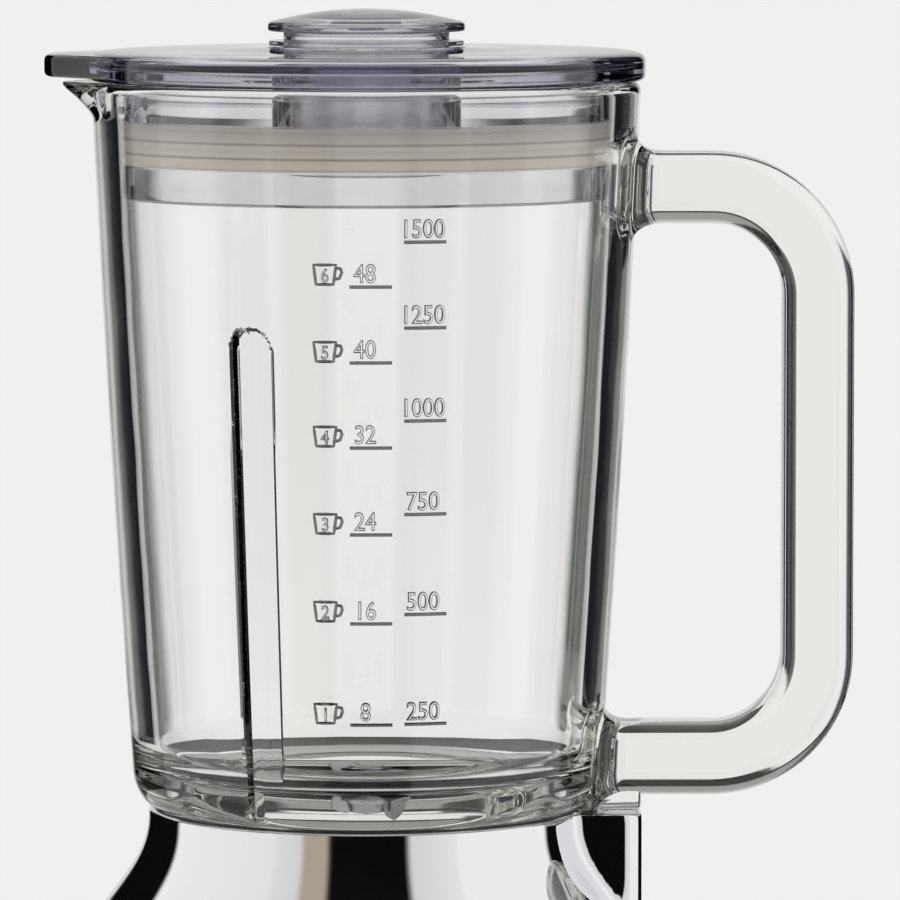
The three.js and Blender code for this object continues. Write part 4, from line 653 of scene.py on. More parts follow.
def bell_side(inset):
    down = Vector((math.sin(SHOULDER_SLOPE), -math.cos(SHOULDER_SLOPE)))
    shoulder = Vector(SHOULDER)
    flare = curve(
        (NECK_RADIUS, SEAT_TOP), (NECK_RADIUS - WAIST_DRAW, SEAT_TOP - FLARE_PULLS[0]),
        shoulder - down * FLARE_PULLS[1], shoulder, FLARE_STEPS, inset,
    )
    bell = curve(
        shoulder, shoulder + down * BELL_PULLS[0], (SKIRT_RADIUS, SKIRT_TOP + BELL_PULLS[1]),
        (SKIRT_RADIUS, SKIRT_TOP), BELL_STEPS, inset,
    )
    return flare + bell[1:]


def bell_shell():
    """The bell turned from its section. The rows of its side are then pushed out to the tower's outline."""
    lip = [
        (NECK_RADIUS - LIP_ROUNDING * (1 - math.sin(t)), SEAT_TOP - LIP_ROUNDING * (1 - math.cos(t)))
        for t in [k * LIP_STEP for k in range(4)]
    ]
    outer = [tuple(spot) for spot in bell_side(0) if spot.y < SEAT_TOP - LIP_ROUNDING]
    inner = [tuple(spot) for spot in bell_side(SHELL_WALL) if spot.y < SHELL_CEILING - SHELL_CORNER]
    skirt = [(SKIRT_RADIUS, height) for height in SKIRT_ROWS]
    foot_edge = (SKIRT_RADIUS - SMALL, SHELL_BOTTOM)
    foot_inside = (SKIRT_RADIUS - SHELL_WALL, SHELL_BOTTOM)
    step = SEAT_TOP - WELL_FLANGE_SPACE
    plain_top = [(WELL_HOLE, SHELL_CEILING), (WELL_HOLE, step), (NECK_BORE, step), (NECK_BORE, SEAT_TOP)]
    outside = lip + outer + skirt + [foot_edge]
    inside = [foot_inside] + inner[::-1] + [(inner[0][0] - FINE, SHELL_CEILING)]
    piece = turned("chrome_housing_shell", plain_top + outside + inside, SHELL_SIDES)
    insets = {}
    for row, inset in ((outside, 0), (inside, SHELL_WALL)):
        insets.update({(round(radius, 3), round(height, 3)): inset for radius, height in row})
    for vertex in piece.data.vertices:
        x, y, z = [c / MM for c in vertex.co]
        radius = math.hypot(x, y)
        inset = insets.get((round(radius, 3), round(z, 3)))
        if inset is None:
            continue
        on_lip = inset == 0 and z > SEAT_TOP - LIP_ROUNDING - HAIR
        drawn = max(NECK_RADIUS - radius, 0) if on_lip else 0
        angle = math.atan2(y, x)
        vertex.co = Vector(polar(with_tower(radius + drawn, angle, inset) - drawn, angle, z)) * MM
    piece.data.update()
    return piece


chrome = mottled(
    "bright chrome plate", rough=(14, 5, 0.012, 0.05), relief=(45, 1, 0.02),
    finish={"Base Color": tone("e9eaec"), "Metallic": 1.0},
)
housing = bell_shell()
boss = turned("boss", [(0, -BOSS_DEPTH), (BOSS_RADIUS, -BOSS_DEPTH), (BOSS_RADIUS, 0, FULL), (0, 0)])
place_at(boss, DIAL, TO_FRONT)
cut_with(housing, boss, "UNION")
for radius, low, high, place, turn in (
    (PLATE_RECESS[0], -PLATE_RECESS[1], HOLE_PAST, DIAL, TO_FRONT),
    (BUSHING_HOLE, -2 * BOSS_DEPTH, HOLE_PAST, DIAL, TO_FRONT),
    (BUTTON_HOLE, -HOLE_REACH, HOLE_REACH, (0, -SKIRT_RADIUS, BUTTON_HEIGHT), TO_FRONT),
    (GLAND_HOLE, -HOLE_REACH, HOLE_REACH, (0, SKIRT_RADIUS, GLAND_HEIGHT), TO_REAR),
    (PIN_HOLE_RADIUS, SHELL_CEILING - HOLE_PAST, SEAT_TOP + HOLE_PAST, (PIN_REACH, 0, 0), None),
):
    hole = post("hole", radius, low, high, sides=96)
    place_at(hole, place, turn)
    cut_with(housing, hole)
finished(housing, "base", "chrome", chrome, "chrome_housing", angle=32)


# The dial plate: an aluminium disc, spun satin so that fine rings catch the light, set in the boss's recess.
# Its plain numbers and ticks are printed in black and count up clockwise as the knob turns.
PLATE_RADIUS = 27
PLATE_BORE = 5.3
PLATE_THICKNESS = 1.4
DIAL_STEP = 30 * DEGREE
DIAL_NUMBERS = 6
DIAL_NUMBER_REACH = 23.0
DIAL_NUMBER_SIZE = 5.4
DIGIT_HALF_HEIGHT = 0.36
TICK_REACH = (17.6, 19.4)
TICK_HALF_WIDTH = 0.35
INK = 0.05
BEVEL_SHRINK = 0.6
WAVE_UNIT = 20


def number_solid(text, size, low, high, softness=0.0):
    """Plain numbers as a solid, centred on x, that stand on y = 0 and reach from low to high along z."""
    bpy.ops.object.select_all(action="DESELECT")
    bpy.ops.object.text_add()
    letters = bpy.context.object
    letters.data.body = text
    letters.data.align_x = "CENTER"
    letters.data.size = size * MM
    letters.data.extrude = ((high - low) / 2 - softness) * MM
    letters.data.bevel_depth = softness * MM
    letters.data.bevel_resolution = 1
    letters.data.offset = -softness * BEVEL_SHRINK * MM
    letters.data.resolution_u = 5
    bpy.ops.object.convert(target="MESH")
    letters = bpy.context.object
    place_at(letters, (0, 0, (high + low) / 2))
    bpy.ops.object.mode_set(mode="EDIT")
    finish_mesh()
    return letters


def joined(pieces):
    """Makes one piece of several, under the first one's name."""
    make_active(pieces[0])
    for piece in pieces:
        piece.select_set(True)
    bpy.ops.object.join()
    return pieces[0]


def spun_aluminium():
    material, tree, place = new_material("spun satin aluminium")
    centred = add_node(tree, "Mapping", inputs={"Vector": place, "Location": (0, 0, -DIAL_HEIGHT * MM)})
    rings = add_node(tree, "TexWave", {"wave_type": "RINGS", "rings_direction": "Y"}, {
        "Vector": centred, "Scale": 1 / (1.1 * MM) / WAVE_UNIT, "Distortion": 1.5, "Detail": 3.0,
    })
    shader = add_node(tree, "BsdfPrincipled", inputs={
        "Base Color": add_node(
            tree, "Mix", COLOURS, {SHARE: rings, FROM: tone("c4c6c8"), TO: tone("d2d4d6")}, MIXED
        ),
        "Metallic": 1.0,
        "Roughness": add_node(tree, "MapRange", inputs={0: rings, NEW_LOW: 0.28, NEW_HIGH: 0.4}),
        "Normal": add_node(tree, "Bump", inputs={"Height": rings, "Distance": 0.01 * MM}),
    })
    add_node(tree, "OutputMaterial", inputs={"Surface": shader})
    return material


dial_plate = turned("dial_plate_satin", [
    (PLATE_BORE, -PLATE_THICKNESS), (PLATE_RADIUS, -PLATE_THICKNESS), (PLATE_RADIUS, 0, FINE),
    (PLATE_BORE, 0, KEEN),
], sides=160)
finished(
    dial_plate, "base", "satin_plate", spun_aluminium(), "dial_plate", angle=30, place=DIAL, turn=TO_FRONT
)

printing = []
for i in range(DIAL_NUMBERS):
    number = number_solid(str(i), DIAL_NUMBER_SIZE, -INK / 2, INK)
    place_at(number, (
        DIAL_NUMBER_REACH * math.sin(i * DIAL_STEP),
        DIAL_NUMBER_REACH * math.cos(i * DIAL_STEP) - DIAL_NUMBER_SIZE * DIGIT_HALF_HEIGHT, 0,
    ))
    tick = block(
        "tick", (-TICK_HALF_WIDTH, TICK_REACH[0], -INK / 2), (TICK_HALF_WIDTH, TICK_REACH[1], INK)
    )
    place_at(tick, turn=Matrix.Rotation(-i * DIAL_STEP, 4, "Z"))
    printing += [number, tick]
dial_numbers = joined(printing)
dial_numbers.name = "dial_numbers"
ink = mottled("screen-printed black ink", tint=(0.4, 2, "131314", "1b1b1d"), rough=(0.4, 2, 0.4, 0.55))
finished(dial_numbers, "base", "black_plastic", ink, angle=None, place=DIAL, turn=TO_FRONT)


# The speed knob: a black moulded cap pushed on to its spindle, fluted for the fingers, with a white line
# filled into the groove that points at the number.
KNOB_RADIUS = 15.5
KNOB_HEIGHT = 17
KNOB_TAPER = 1.2
KNOB_LOW = 0.3
KNOB_SKIRT = ((15.35, 2.6), (15.0, 3.0))
KNOB_CROWN = 2.4
KNOB_RIM = (5, 0.3, 1.5)
KNOB_DISH = 0.9
KNOB_EDGE = 0.25
FLUTE_COUNT = 18
FLUTE_RADIUS = 1.5
FLUTE_REACH = 15.9
FLUTE_START = 3.2
FLUTE_LEAN = -3.5 * DEGREE
POINTER_HALF_WIDTH = 0.8
POINTER_DEPTH = 0.6
POINTER_FILL = 0.35
POINTER_START = 5.5
POINTER_MARGIN = 2.2
POINTER_EDGE = 0.1
KNOB_SPINDLE_HOLE = (3.3, 12.3)

knob = turned("speed_knob_abs", [
    (0, KNOB_LOW), (KNOB_RADIUS, KNOB_LOW, SMALL), *[(*spot, FINE) for spot in KNOB_SKIRT],
    (KNOB_RADIUS - KNOB_TAPER, KNOB_HEIGHT, KNOB_CROWN),
    (KNOB_RADIUS - KNOB_RIM[0], KNOB_HEIGHT - KNOB_RIM[1], KNOB_RIM[2]), (0, KNOB_HEIGHT - KNOB_DISH),
], sides=144)
for i in range(FLUTE_COUNT):
    flute = post("flute", FLUTE_RADIUS, FLUTE_START, KNOB_HEIGHT + 2, sides=24)
    round_edges(flute, PLAIN)
    out = Matrix.Translation((FLUTE_REACH * MM, 0, 0)) @ Matrix.Rotation(FLUTE_LEAN, 4, "Y")
    place_at(flute, turn=Matrix.Rotation((i + 0.5) * FULL_TURN / FLUTE_COUNT, 4, "Z") @ out)
    cut_with(knob, flute)
groove_floor = KNOB_HEIGHT - KNOB_DISH - POINTER_DEPTH
groove = block(
    "groove", (-POINTER_HALF_WIDTH, POINTER_START, groove_floor),
    (POINTER_HALF_WIDTH, KNOB_RADIUS + 2, KNOB_HEIGHT + PAST),
)
cut_with(knob, groove)
cut_with(knob, post("spindle hole", KNOB_SPINDLE_HOLE[0], 0, KNOB_SPINDLE_HOLE[1]))
round_edges(knob, KNOB_EDGE, segments=2, angle=50)
finished(knob, "knob", "black_plastic", black_abs, "speed_knob", place=DIAL, turn=TO_FRONT)

pointer = block(
    "knob_pointer_line", (-POINTER_HALF_WIDTH, POINTER_START, groove_floor),
    (POINTER_HALF_WIDTH, KNOB_RADIUS - KNOB_TAPER - POINTER_MARGIN, groove_floor + POINTER_FILL),
)
round_edges(pointer, POINTER_EDGE)
paint = mottled("white filling paint", tint=(0.9, 2, "dcdcd8", "e8e8e4"), rough=(0.9, 2, 0.35, 0.5))
finished(pointer, "knob", "black_plastic", paint, place=DIAL, turn=TO_FRONT)


# The pulse button: a black moulded plunger with a dished face, kept in the shell by the flange behind it.
BUTTON_RADIUS = 7
BUTTON_PROUD = 3.5
BUTTON_FACE = ((1.8, 0.15, 0.6), (3.5, 0.7, 1.2))
BUTTON_FLANGE = (8.8, -3.5, -6.3)
BUTTON_STEM = (3, -19.8)

stem_radius, stem_low = BUTTON_STEM
flange_radius, flange_top, flange_low = BUTTON_FLANGE
button = turned("pulse_button_abs", [
    (0, stem_low), (stem_radius, stem_low, SMALL), (stem_radius, flange_low),
    (flange_radius, flange_low, FINE), (flange_radius, flange_top, FINE), (BUTTON_RADIUS, flange_top),
    (BUTTON_RADIUS, BUTTON_PROUD, BROAD),
    *[(BUTTON_RADIUS - inward, BUTTON_PROUD - drop, rounding) for inward, drop, rounding in BUTTON_FACE],
    (0, BUTTON_PROUD - BUTTON_FACE[-1][1]),
], sides=96)
button_place = (0, -SKIRT_RADIUS, BUTTON_HEIGHT)
finished(button, "button", "black_plastic", black_abs, "pulse_button", place=button_place, turn=TO_FRONT)


# The gland at the back: a moulded rubber bush with three ribs, where the mains cord leaves the shell.
GLAND_BORE = 3.8
GLAND_SPIGOT = 6.6
GLAND_STAND_OFF = 0.7
GLAND_FLANGE = 9
GLAND_RIBS = ((0, 2.4, 0.5), (1.2, 2.6, 0.3), (1.4, 3.2, 0.4), (2.6, 3.3, 0.3), (3.0, 3.7, 0.4))
GLAND_TOP = 3.7
GLAND_NUT = (8.8, -3.5, -6.5)

nut_radius, nut_top, nut_low = GLAND_NUT
gland = turned("cord_gland_rubber", [
    (GLAND_BORE, nut_low, SMALL), (nut_radius, nut_low, SMALL), (nut_radius, nut_top, SMALL),
    (GLAND_SPIGOT, nut_top), (GLAND_SPIGOT, GLAND_STAND_OFF), (GLAND_FLANGE, GLAND_STAND_OFF, FINE),
    *[(GLAND_FLANGE - inward, height, rounding) for inward, height, rounding in GLAND_RIBS],
    (GLAND_BORE, GLAND_TOP, MILD),
], sides=96)
finished(gland, "base", "rubber", rubber, "cord_gland", place=(0, SKIRT_RADIUS, GLAND_HEIGHT), turn=TO_REAR)


# The drip well: a deep black cup moulded with the motor's four bosses and the interlock's shelf. Its flange
# lies in the shell's neck, and the collar of the blade unit sinks into it.
WELL_BORE = 48.5
WELL_OUTER = 51.3
WELL_FLANGE = 53
WELL_FLANGE_THICKNESS = 1.3
WELL_FLOOR = (125, 127.5)
SHAFT_HOLE = 7
SHAFT_LIP = (10, 129)
WELL_CORNERS = (3, 4)
MOTOR_BOSS = (6.5, 117.8)
MOUNT_PLACES = ((30, 20), (-30, 20), (-30, -20), (30, -20))
SHELF_LOW = (50, -8, 125.5)
SHELF_HIGH = (65.5, 8, 129)

floor_low, floor_top = WELL_FLOOR
flange_low = SEAT_TOP - WELL_FLANGE_THICKNESS
drip_well = turned("drip_well_abs", [
    (SHAFT_HOLE, floor_low), (WELL_OUTER, floor_low, WELL_CORNERS[0]), (WELL_OUTER, flange_low),
    (WELL_FLANGE, flange_low), (WELL_FLANGE, SEAT_TOP, FINE), (WELL_BORE, SEAT_TOP, PLAIN),
    (WELL_BORE, floor_top, WELL_CORNERS[1]), (SHAFT_LIP[0], floor_top, SOFT), (*SHAFT_LIP, SMALL),
    (SHAFT_HOLE, SHAFT_LIP[1], SMALL),
], sides=160, steps=6)
for x, y in MOUNT_PLACES:
    motor_boss = post("boss", *MOTOR_BOSS, floor_low + PAST)
    place_at(motor_boss, (x, y, 0))
    cut_with(drip_well, motor_boss, "UNION")
cut_with(drip_well, block("shelf", SHELF_LOW, SHELF_HIGH), "UNION")
finished(drip_well, "base", "black_plastic", black_abs, "drip_well", angle=32)


# The safety pin: natural nylon, turned with a round nose and a flange for its spring. The jug's foot pad
# holds it down on its switch, so the motor can't start with the jug off.
PIN_RADIUS = 2.5
PIN_LEVELS = (153.0, 174.6)
PIN_FLANGE = (4.2, 158.0, 160.0)

nylon = mottled(
    "natural moulded nylon", tint=(4, 3, "e2dfd3", "ece9df"), rough=(4, 3, 0.42, 0.55),
    finish={"Subsurface Weight": 0.25, "Subsurface Scale": 0.002},
)
low, top = PIN_LEVELS
flange_radius, flange_low, flange_top = PIN_FLANGE
pin = turned("interlock_pin_nylon", [
    (0, low), (PIN_RADIUS, low, SMALL), (PIN_RADIUS, flange_low), (flange_radius, flange_low, FINE),
    (flange_radius, flange_top, FINE), (PIN_RADIUS, flange_top), (PIN_RADIUS, top, ROUND), (0, top),
], sides=48)
finished(pin, "safety_pin", "nylon", nylon, "interlock_pin", place=(PIN_REACH, 0, 0))


# The motor and what else is shut inside: these pieces keep the plain shapes of the frame and get the
# finishes of a real motor, from punched steel and enamelled wire to carbon and a green board.
COPPER = {
    "distortion": 0.3, "dark": "6f3a1e", "pale": "c47c49", "depth": 0.2,
    "finish": {"Metallic": 0.9, "Roughness": 0.3, "Coat Weight": 0.6},
}


def banded(name, direction, pitch, distortion, dark, pale, depth, finish):
    """Metal in layers: steel sheets 0.5 mm thick, drawn 1 mm thick so that the stack shows, or copper wound
    in turns under clear amber enamel, or turned in fine rings. Pitch and depth are in millimetres."""
    material, tree, place = new_material(name)
    bands = add_node(tree, "TexWave", {"wave_type": "BANDS", "bands_direction": direction}, {
        "Vector": place, "Scale": 1 / (pitch * MM) / WAVE_UNIT, "Distortion": distortion,
    })
    shader = add_node(tree, "BsdfPrincipled", inputs={
        "Base Color": add_node(tree, "Mix", COLOURS, {SHARE: bands, FROM: tone(dark), TO: tone(pale)}, MIXED),
        "Normal": add_node(tree, "Bump", inputs={"Height": bands, "Distance": depth * MM}),
        **finish,
    })
    add_node(tree, "OutputMaterial", inputs={"Surface": shader})
    return material


def grained(name, grain, dark, pale, metallic, roughness):
    """A pressed or sintered solid, whose grain shows as fine specks."""
    return mottled(
        name, tint=(grain, 5, dark, pale), rough=(grain, 5, roughness, roughness + 0.15),
        relief=(grain, 5, 0.03), finish={"Metallic": metallic},
    )


def green_board():
    material, tree, place = new_material("green solder mask over copper tracks")
    turned_place = add_node(tree, "Mapping", inputs={"Vector": place, "Rotation": (90 * DEGREE, 0, 0)})
    tracks = add_node(tree, "TexBrick", inputs={
        "Vector": turned_place, "Scale": 1 / (4 * MM) / 4, "Mortar Size": 0.03,
        "Color1": tone("1f5a37"), "Color2": tone("235f3c"), "Mortar": tone("3c8a58"),
    })
    shader = add_node(tree, "BsdfPrincipled", inputs={"Base Color": tracks, "Roughness": 0.35})
    add_node(tree, "OutputMaterial", inputs={"Surface": shader})
    return material


def ground_steel():
    """Stainless steel ground along its length, so that the light streaks across the grain."""
    material, tree, place = new_material("ground stainless steel")
    drawn = add_node(tree, "Mapping", inputs={"Vector": place, "Scale": (1, 1, 0.04)})
    streaks = add_node(tree, "TexNoise", inputs={"Vector": drawn, "Scale": 1 / (0.6 * MM), "Detail": 4.0})
    shader = add_node(tree, "BsdfPrincipled", inputs={
        "Base Color": add_node(
            tree, "Mix", COLOURS, {SHARE: streaks, FROM: tone("b6b9bc"), TO: tone("cdcfd1")}, MIXED
        ),
        "Metallic": 1.0,
        "Roughness": add_node(tree, "MapRange", inputs={0: streaks, NEW_LOW: 0.16, NEW_HIGH: 0.3}),
        "Normal": add_node(tree, "Bump", inputs={"Height": streaks, "Distance": 0.01 * MM}),
    })
    add_node(tree, "OutputMaterial", inputs={"Surface": shader})
    return material


steel = ground_steel()
dress(banded(
    "stacked electrical steel", "Z", pitch=1, distortion=0.4, dark="3f4245", pale="7b7f83", depth=0.05,
    finish={"Metallic": 0.9, "Roughness": 0.5},
), "stator_core", "rotor_core")
dress(banded("enamelled copper wire", "X", 0.9, **COPPER), "field_coil_left", "field_coil_right")
dress(banded("hard-drawn copper bars", "Z", 1.4, **COPPER), "commutator")
dress(
    grained("sintered bronze", 0.6, "8c6a38", "b8945a", metallic=1.0, roughness=0.35),
    "brush_holder_front", "brush_holder_rear", "spindle_bush",
)
dress(
    grained("pressed carbon", 0.4, "1f1f20", "343435", metallic=0.0, roughness=0.7),
    "carbon_brush_front", "carbon_brush_rear",
)
dress(green_board(), "control_board")
dress(zinc, "motor_top_bracket", "motor_bottom_bracket", "motor_bolt_1", "motor_bolt_2")
dress(steel, "upper_bearing", "lower_bearing", "motor_shaft", "knob_spindle")
dress(rubber, "motor_mount_1", "motor_mount_2", "motor_mount_3", "motor_mount_4", "spindle_seal")
dress(black_abs, "speed_switch", "pulse_switch", "interlock_switch", "cooling_fan")


# The springs: stainless wire wound in six open turns, one round the button's stem and one under the safety
# pin.
SPRING_TURNS = 6
TURN_STEPS = 24
WIRE_SIDES = 10
PULSE_COIL = (4.4, 0.45)
PIN_COIL = (3.4, 0.4)


def coil_spring(name, coil, length, place, turn=None):
    """Winds a round wire upwards from the origin and sets the spring in its place."""
    coil_radius, wire_radius = coil
    bpy.ops.object.select_all(action="DESELECT")
    bpy.ops.mesh.primitive_circle_add(vertices=WIRE_SIDES, radius=wire_radius * MM)
    spring = bpy.context.object
    spring.name = name
    spring.data.name = name
    place_at(spring, (coil_radius, 0, wire_radius), TO_FRONT)
    winding = spring.modifiers.new("winding", "SCREW")
    winding.angle = FULL_TURN
    winding.iterations = SPRING_TURNS
    winding.steps = TURN_STEPS
    winding.render_steps = TURN_STEPS
    winding.screw_offset = (length - 2 * wire_radius) / SPRING_TURNS * MM
    make_active(spring)
    bpy.ops.object.modifier_apply(modifier="winding")
    bpy.ops.object.mode_set(mode="EDIT")
    bpy.ops.mesh.select_all(action="SELECT")
    bpy.ops.mesh.fill_holes(sides=WIRE_SIDES)
    finish_mesh()
    dressed(spring, steel, 35, place, turn)
    return spring


front, back = (corner.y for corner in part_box("pulse_spring"))
middle = BUTTON_HEIGHT * MM
spring = coil_spring(
    "pulse_spring_wire", PULSE_COIL, (back - front) / MM, (0, back / MM, BUTTON_HEIGHT), TO_FRONT
)
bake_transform(spring)
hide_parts("pulse_spring")

low, high = (corner.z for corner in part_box("interlock_spring"))
reach = PIN_REACH * MM
spring = coil_spring("interlock_spring_wire", PIN_COIL, (high - low) / MM, (PIN_REACH, 0, low / MM))
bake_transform(spring)
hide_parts("interlock_spring")


# The drive coupler: a nylon star on the motor's shaft, with a flinger disc that throws drips off it.
STAR_OUTER = 11
STAR_INNER = 8
STAR_LOBES = 6
STAR_SPOTS = 24
STAR_PHASE = 0.125
STAR_FLANK = 2.6
COUPLER_TOP = 142.5
STAR_HEIGHT = 11
FLINGER = (14.5, 2)
SHAFT_BORE = 4.3


def star_spots(clearance):
    """The outline of the star: six lobes with straight flanks, let out by a clearance."""
    spots = []
    for k in range(STAR_LOBES * STAR_SPOTS):
        phase = k % STAR_SPOTS / STAR_SPOTS
        ramp = abs(2 * ((phase - STAR_PHASE) % 1) - 1) - 0.5
        lobe = min(max(STAR_FLANK * ramp + 0.5, 0), 1)
        radius = STAR_INNER + (STAR_OUTER - STAR_INNER) * (1 - math.cos(math.pi * lobe)) / 2 + clearance
        spots.append(polar(radius, k * FULL_TURN / (STAR_LOBES * STAR_SPOTS))[:2])
    return spots


def plate_from(name, spots, low, high):
    """A plate cut to an outline of (x, y) in millimetres."""
    piece = point_by_point(name, [(x, y, low) for x, y in spots], closes=True)
    bpy.ops.mesh.edge_face_add()
    bpy.ops.mesh.extrude_region_move(TRANSFORM_OT_translate={"value": (0, 0, (high - low) * MM)})
    finish_mesh()
    return piece


low = COUPLER_TOP - STAR_HEIGHT
disc_radius, disc_thickness = FLINGER
coupler = plate_from("drive_coupler_nylon", star_spots(0), low - PLAIN, COUPLER_TOP)
round_edges(coupler, SMALL, segments=2, angle=60)
flinger = turned("flinger", [
    (0, low - disc_thickness), (disc_radius, low - disc_thickness, PLAIN), (disc_radius, low, PLAIN),
    (0, low),
], sides=96)
cut_with(coupler, flinger, "UNION")
cut_with(coupler, post("shaft bore", SHAFT_BORE, low - disc_thickness - PAST, COUPLER_TOP + PAST))
finished(coupler, "rotor", "nylon", nylon, "drive_coupler", angle=32)


# The jug: one pressing of soda-lime glass, fire polished, with its spout, handle, foot pad and neck.
# A groove pressed into the wall raises a rib inside, and the measuring numbers stand just proud of it.
JUG_SEAT = 175
JUG_HEIGHT = 181.5
RIM_RADIUS = 68.4
HEEL_RADIUS = 58.8
WALL_SWELL = 0.6
HEEL_CORNER = (7.0, 11.0)
RIM_WALL = 5.9
HEEL_WALL = 6.5
FLOOR_TOP = 9.5
FLOOR_CORNER = 9.0
RIM_ROUNDING = 2.2
JUG_SIDES = 400
WALL_ROWS = ((110, 10), (126, 36), (170, 5))
BRIM_ROWS = 10
HEEL_STEPS = 12
HEEL_ROWS = 3
RIM_STEPS = 6
FLOOR_CORNER_STEPS = 10
FLOOR_STEPS = 5
MOUTH_STEPS = 5
SPOUT_REACH = 8.8
SPOUT_DEPTH = 9.0
SPOUT_HALF_ANGLE = 17 * DEGREE
SPOUT_CURVE = 1.3
RIB_ANGLE = 243 * DEGREE
GROOVE = (2.4, 1.9)
RIB = (6.2, 2.4)
RIB_TOP = 124.0
RIB_FLANK = 1.0
RIB_REACH = 40 * DEGREE
RIB_CROWDING = (0.35, 1.5)
RIB_LOW = -0.5
FLOOR_EDGE = 3.3
NECK_OUTER = 36.0
NECK_INNER = 30.5
NECK_LENGTH = 18.0
NECK_MOUTH = 2
NECK_EDGE = 0.6
NECK_ROOT = ((0, -1.0), (0.3, -0.3), (1, 0))
THREAD_LEVELS = (-12, -7)
THREAD = ((0, -1.6), (0.8, -0.9), (1.2, 0), (0.8, 0.9), (0, 1.6))
SEAT = (0, 0, JUG_SEAT)


def jug_share(height):
    return (height - HEEL_CORNER[1]) / (JUG_HEIGHT - HEEL_CORNER[1])


def jug_outside(height):
    share = jug_share(height)
    return HEEL_RADIUS + (RIM_RADIUS - HEEL_RADIUS) * share + 4 * WALL_SWELL * share * (1 - share)


def jug_inside(height):
    return jug_outside(height) - HEEL_WALL - (RIM_WALL - HEEL_WALL) * jug_share(height)


def spread(start, end, steps):
    return [start + (end - start) * k / steps for k in range(steps + 1)]


def jug_outline():
    """The jug's section, from the neck's foot up the outside, over the rim and down the inside."""
    neck = [
        (NECK_INNER + NECK_EDGE, -NECK_LENGTH), (NECK_OUTER - SOFT, -NECK_LENGTH),
        (NECK_OUTER, -NECK_LENGTH + SOFT),
        *[(NECK_OUTER + out, level + rise) for level in THREAD_LEVELS for out, rise in THREAD],
        *[(NECK_OUTER + out, level) for out, level in NECK_ROOT],
    ]
    heel = [
        (HEEL_RADIUS - HEEL_CORNER[0] * (1 - math.sin(t)), HEEL_CORNER[1] * (1 - math.cos(t)))
        for t in spread(0, QUARTER_TURN, HEEL_STEPS)
    ]
    low = FLOOR_TOP + FLOOR_CORNER
    top = JUG_HEIGHT - RIM_ROUNDING
    walls = []
    start = low
    for end, rows in (*WALL_ROWS, (top, BRIM_ROWS)):
        walls += spread(start, end, rows)[1:]
        start = end
    outer = [(jug_outside(h), h) for h in spread(HEEL_CORNER[1], low, HEEL_ROWS)[1:] + walls]
    rim = [
        (jug_outside(top) - RIM_ROUNDING * (1 - math.cos(t)), top + RIM_ROUNDING * math.sin(t))
        for t in spread(0, QUARTER_TURN, RIM_STEPS)[1:]
    ] + [
        (jug_inside(top) + RIM_ROUNDING * (1 - math.sin(t)), top + RIM_ROUNDING * math.cos(t))
        for t in spread(0, QUARTER_TURN, RIM_STEPS)[:-1]
    ]
    inner = [(jug_inside(h), h) for h in reversed(walls)]
    edge = jug_inside(low) - FLOOR_CORNER
    corner = [
        (edge + FLOOR_CORNER * math.cos(t), low - FLOOR_CORNER * math.sin(t))
        for t in spread(0, QUARTER_TURN, FLOOR_CORNER_STEPS)
    ]
    floor_run = [(x, FLOOR_TOP) for x in spread(edge, NECK_INNER + NECK_MOUTH, FLOOR_STEPS)[1:-1]]
    mouth = [
        (NECK_INNER + NECK_MOUTH * (1 - math.sin(t)), FLOOR_TOP - NECK_MOUTH * (1 - math.cos(t)))
        for t in spread(0, QUARTER_TURN, MOUTH_STEPS)
    ]
    end = [(NECK_INNER, -NECK_LENGTH + NECK_EDGE)]
    return neck + heel + outer + rim + inner + corner + floor_run + mouth + end


def pressed(x, y, height):
    """Where the press leaves a point of the plain turned jug: pushed out at the spout, in at the groove. The
    points near the groove are crowded towards it first."""
    radius = math.hypot(x, y)
    angle = math.atan2(y, x)
    turn = abs(abs(angle) - math.pi)
    if turn < SPOUT_HALF_ANGLE and height > JUG_HEIGHT - SPOUT_DEPTH:
        rise = min((height - JUG_HEIGHT + SPOUT_DEPTH) / SPOUT_DEPTH, 1)
        radius += SPOUT_REACH * math.cos(QUARTER_TURN * turn / SPOUT_HALF_ANGLE) ** 2 * rise ** SPOUT_CURVE
        return polar(radius, angle, height)
    off = (angle - RIB_ANGLE) % FULL_TURN
    off -= FULL_TURN if off > math.pi else 0
    if abs(off) < RIB_REACH:
        least, power = RIB_CROWDING
        off *= least + (1 - least) * (abs(off) / RIB_REACH) ** power
    across = radius * math.sin(off)
    out = radius * math.cos(off)
    outside = radius > (jug_outside(height) + jug_inside(height)) / 2
    if height < HEEL_CORNER[1]:
        outside = radius > (jug_outside(height) + jug_inside(height)) / 2 - HEEL_CORNER[0]
    on_floor = FLOOR_TOP - HAIR < height < FLOOR_TOP + FLOOR_CORNER + HAIR
    if on_floor and radius < jug_outside(height) - FLOOR_EDGE:
        outside = False
    half_width, depth = GROOVE if outside else RIB
    beside = off * (HEEL_RADIUS + RIM_RADIUS) / 2
    edge = half_width - math.hypot(beside, max(0, height - RIB_TOP + half_width))
    if edge > 0 and height > RIB_LOW:
        side = jug_outside(height) if outside else jug_inside(height)
        share = min(edge / RIB_FLANK, 1)
        out = min(out, side - depth * share ** 2 * (3 - 2 * share))
    return (
        out * math.cos(RIB_ANGLE) - across * math.sin(RIB_ANGLE),
        out * math.sin(RIB_ANGLE) + across * math.cos(RIB_ANGLE), height,
    )


jug = turned("glass_jug_pressing", jug_outline(), JUG_SIDES)
for vertex in jug.data.vertices:
    vertex.co = Vector(pressed(*[c / MM for c in vertex.co])) * MM
jug.data.update()


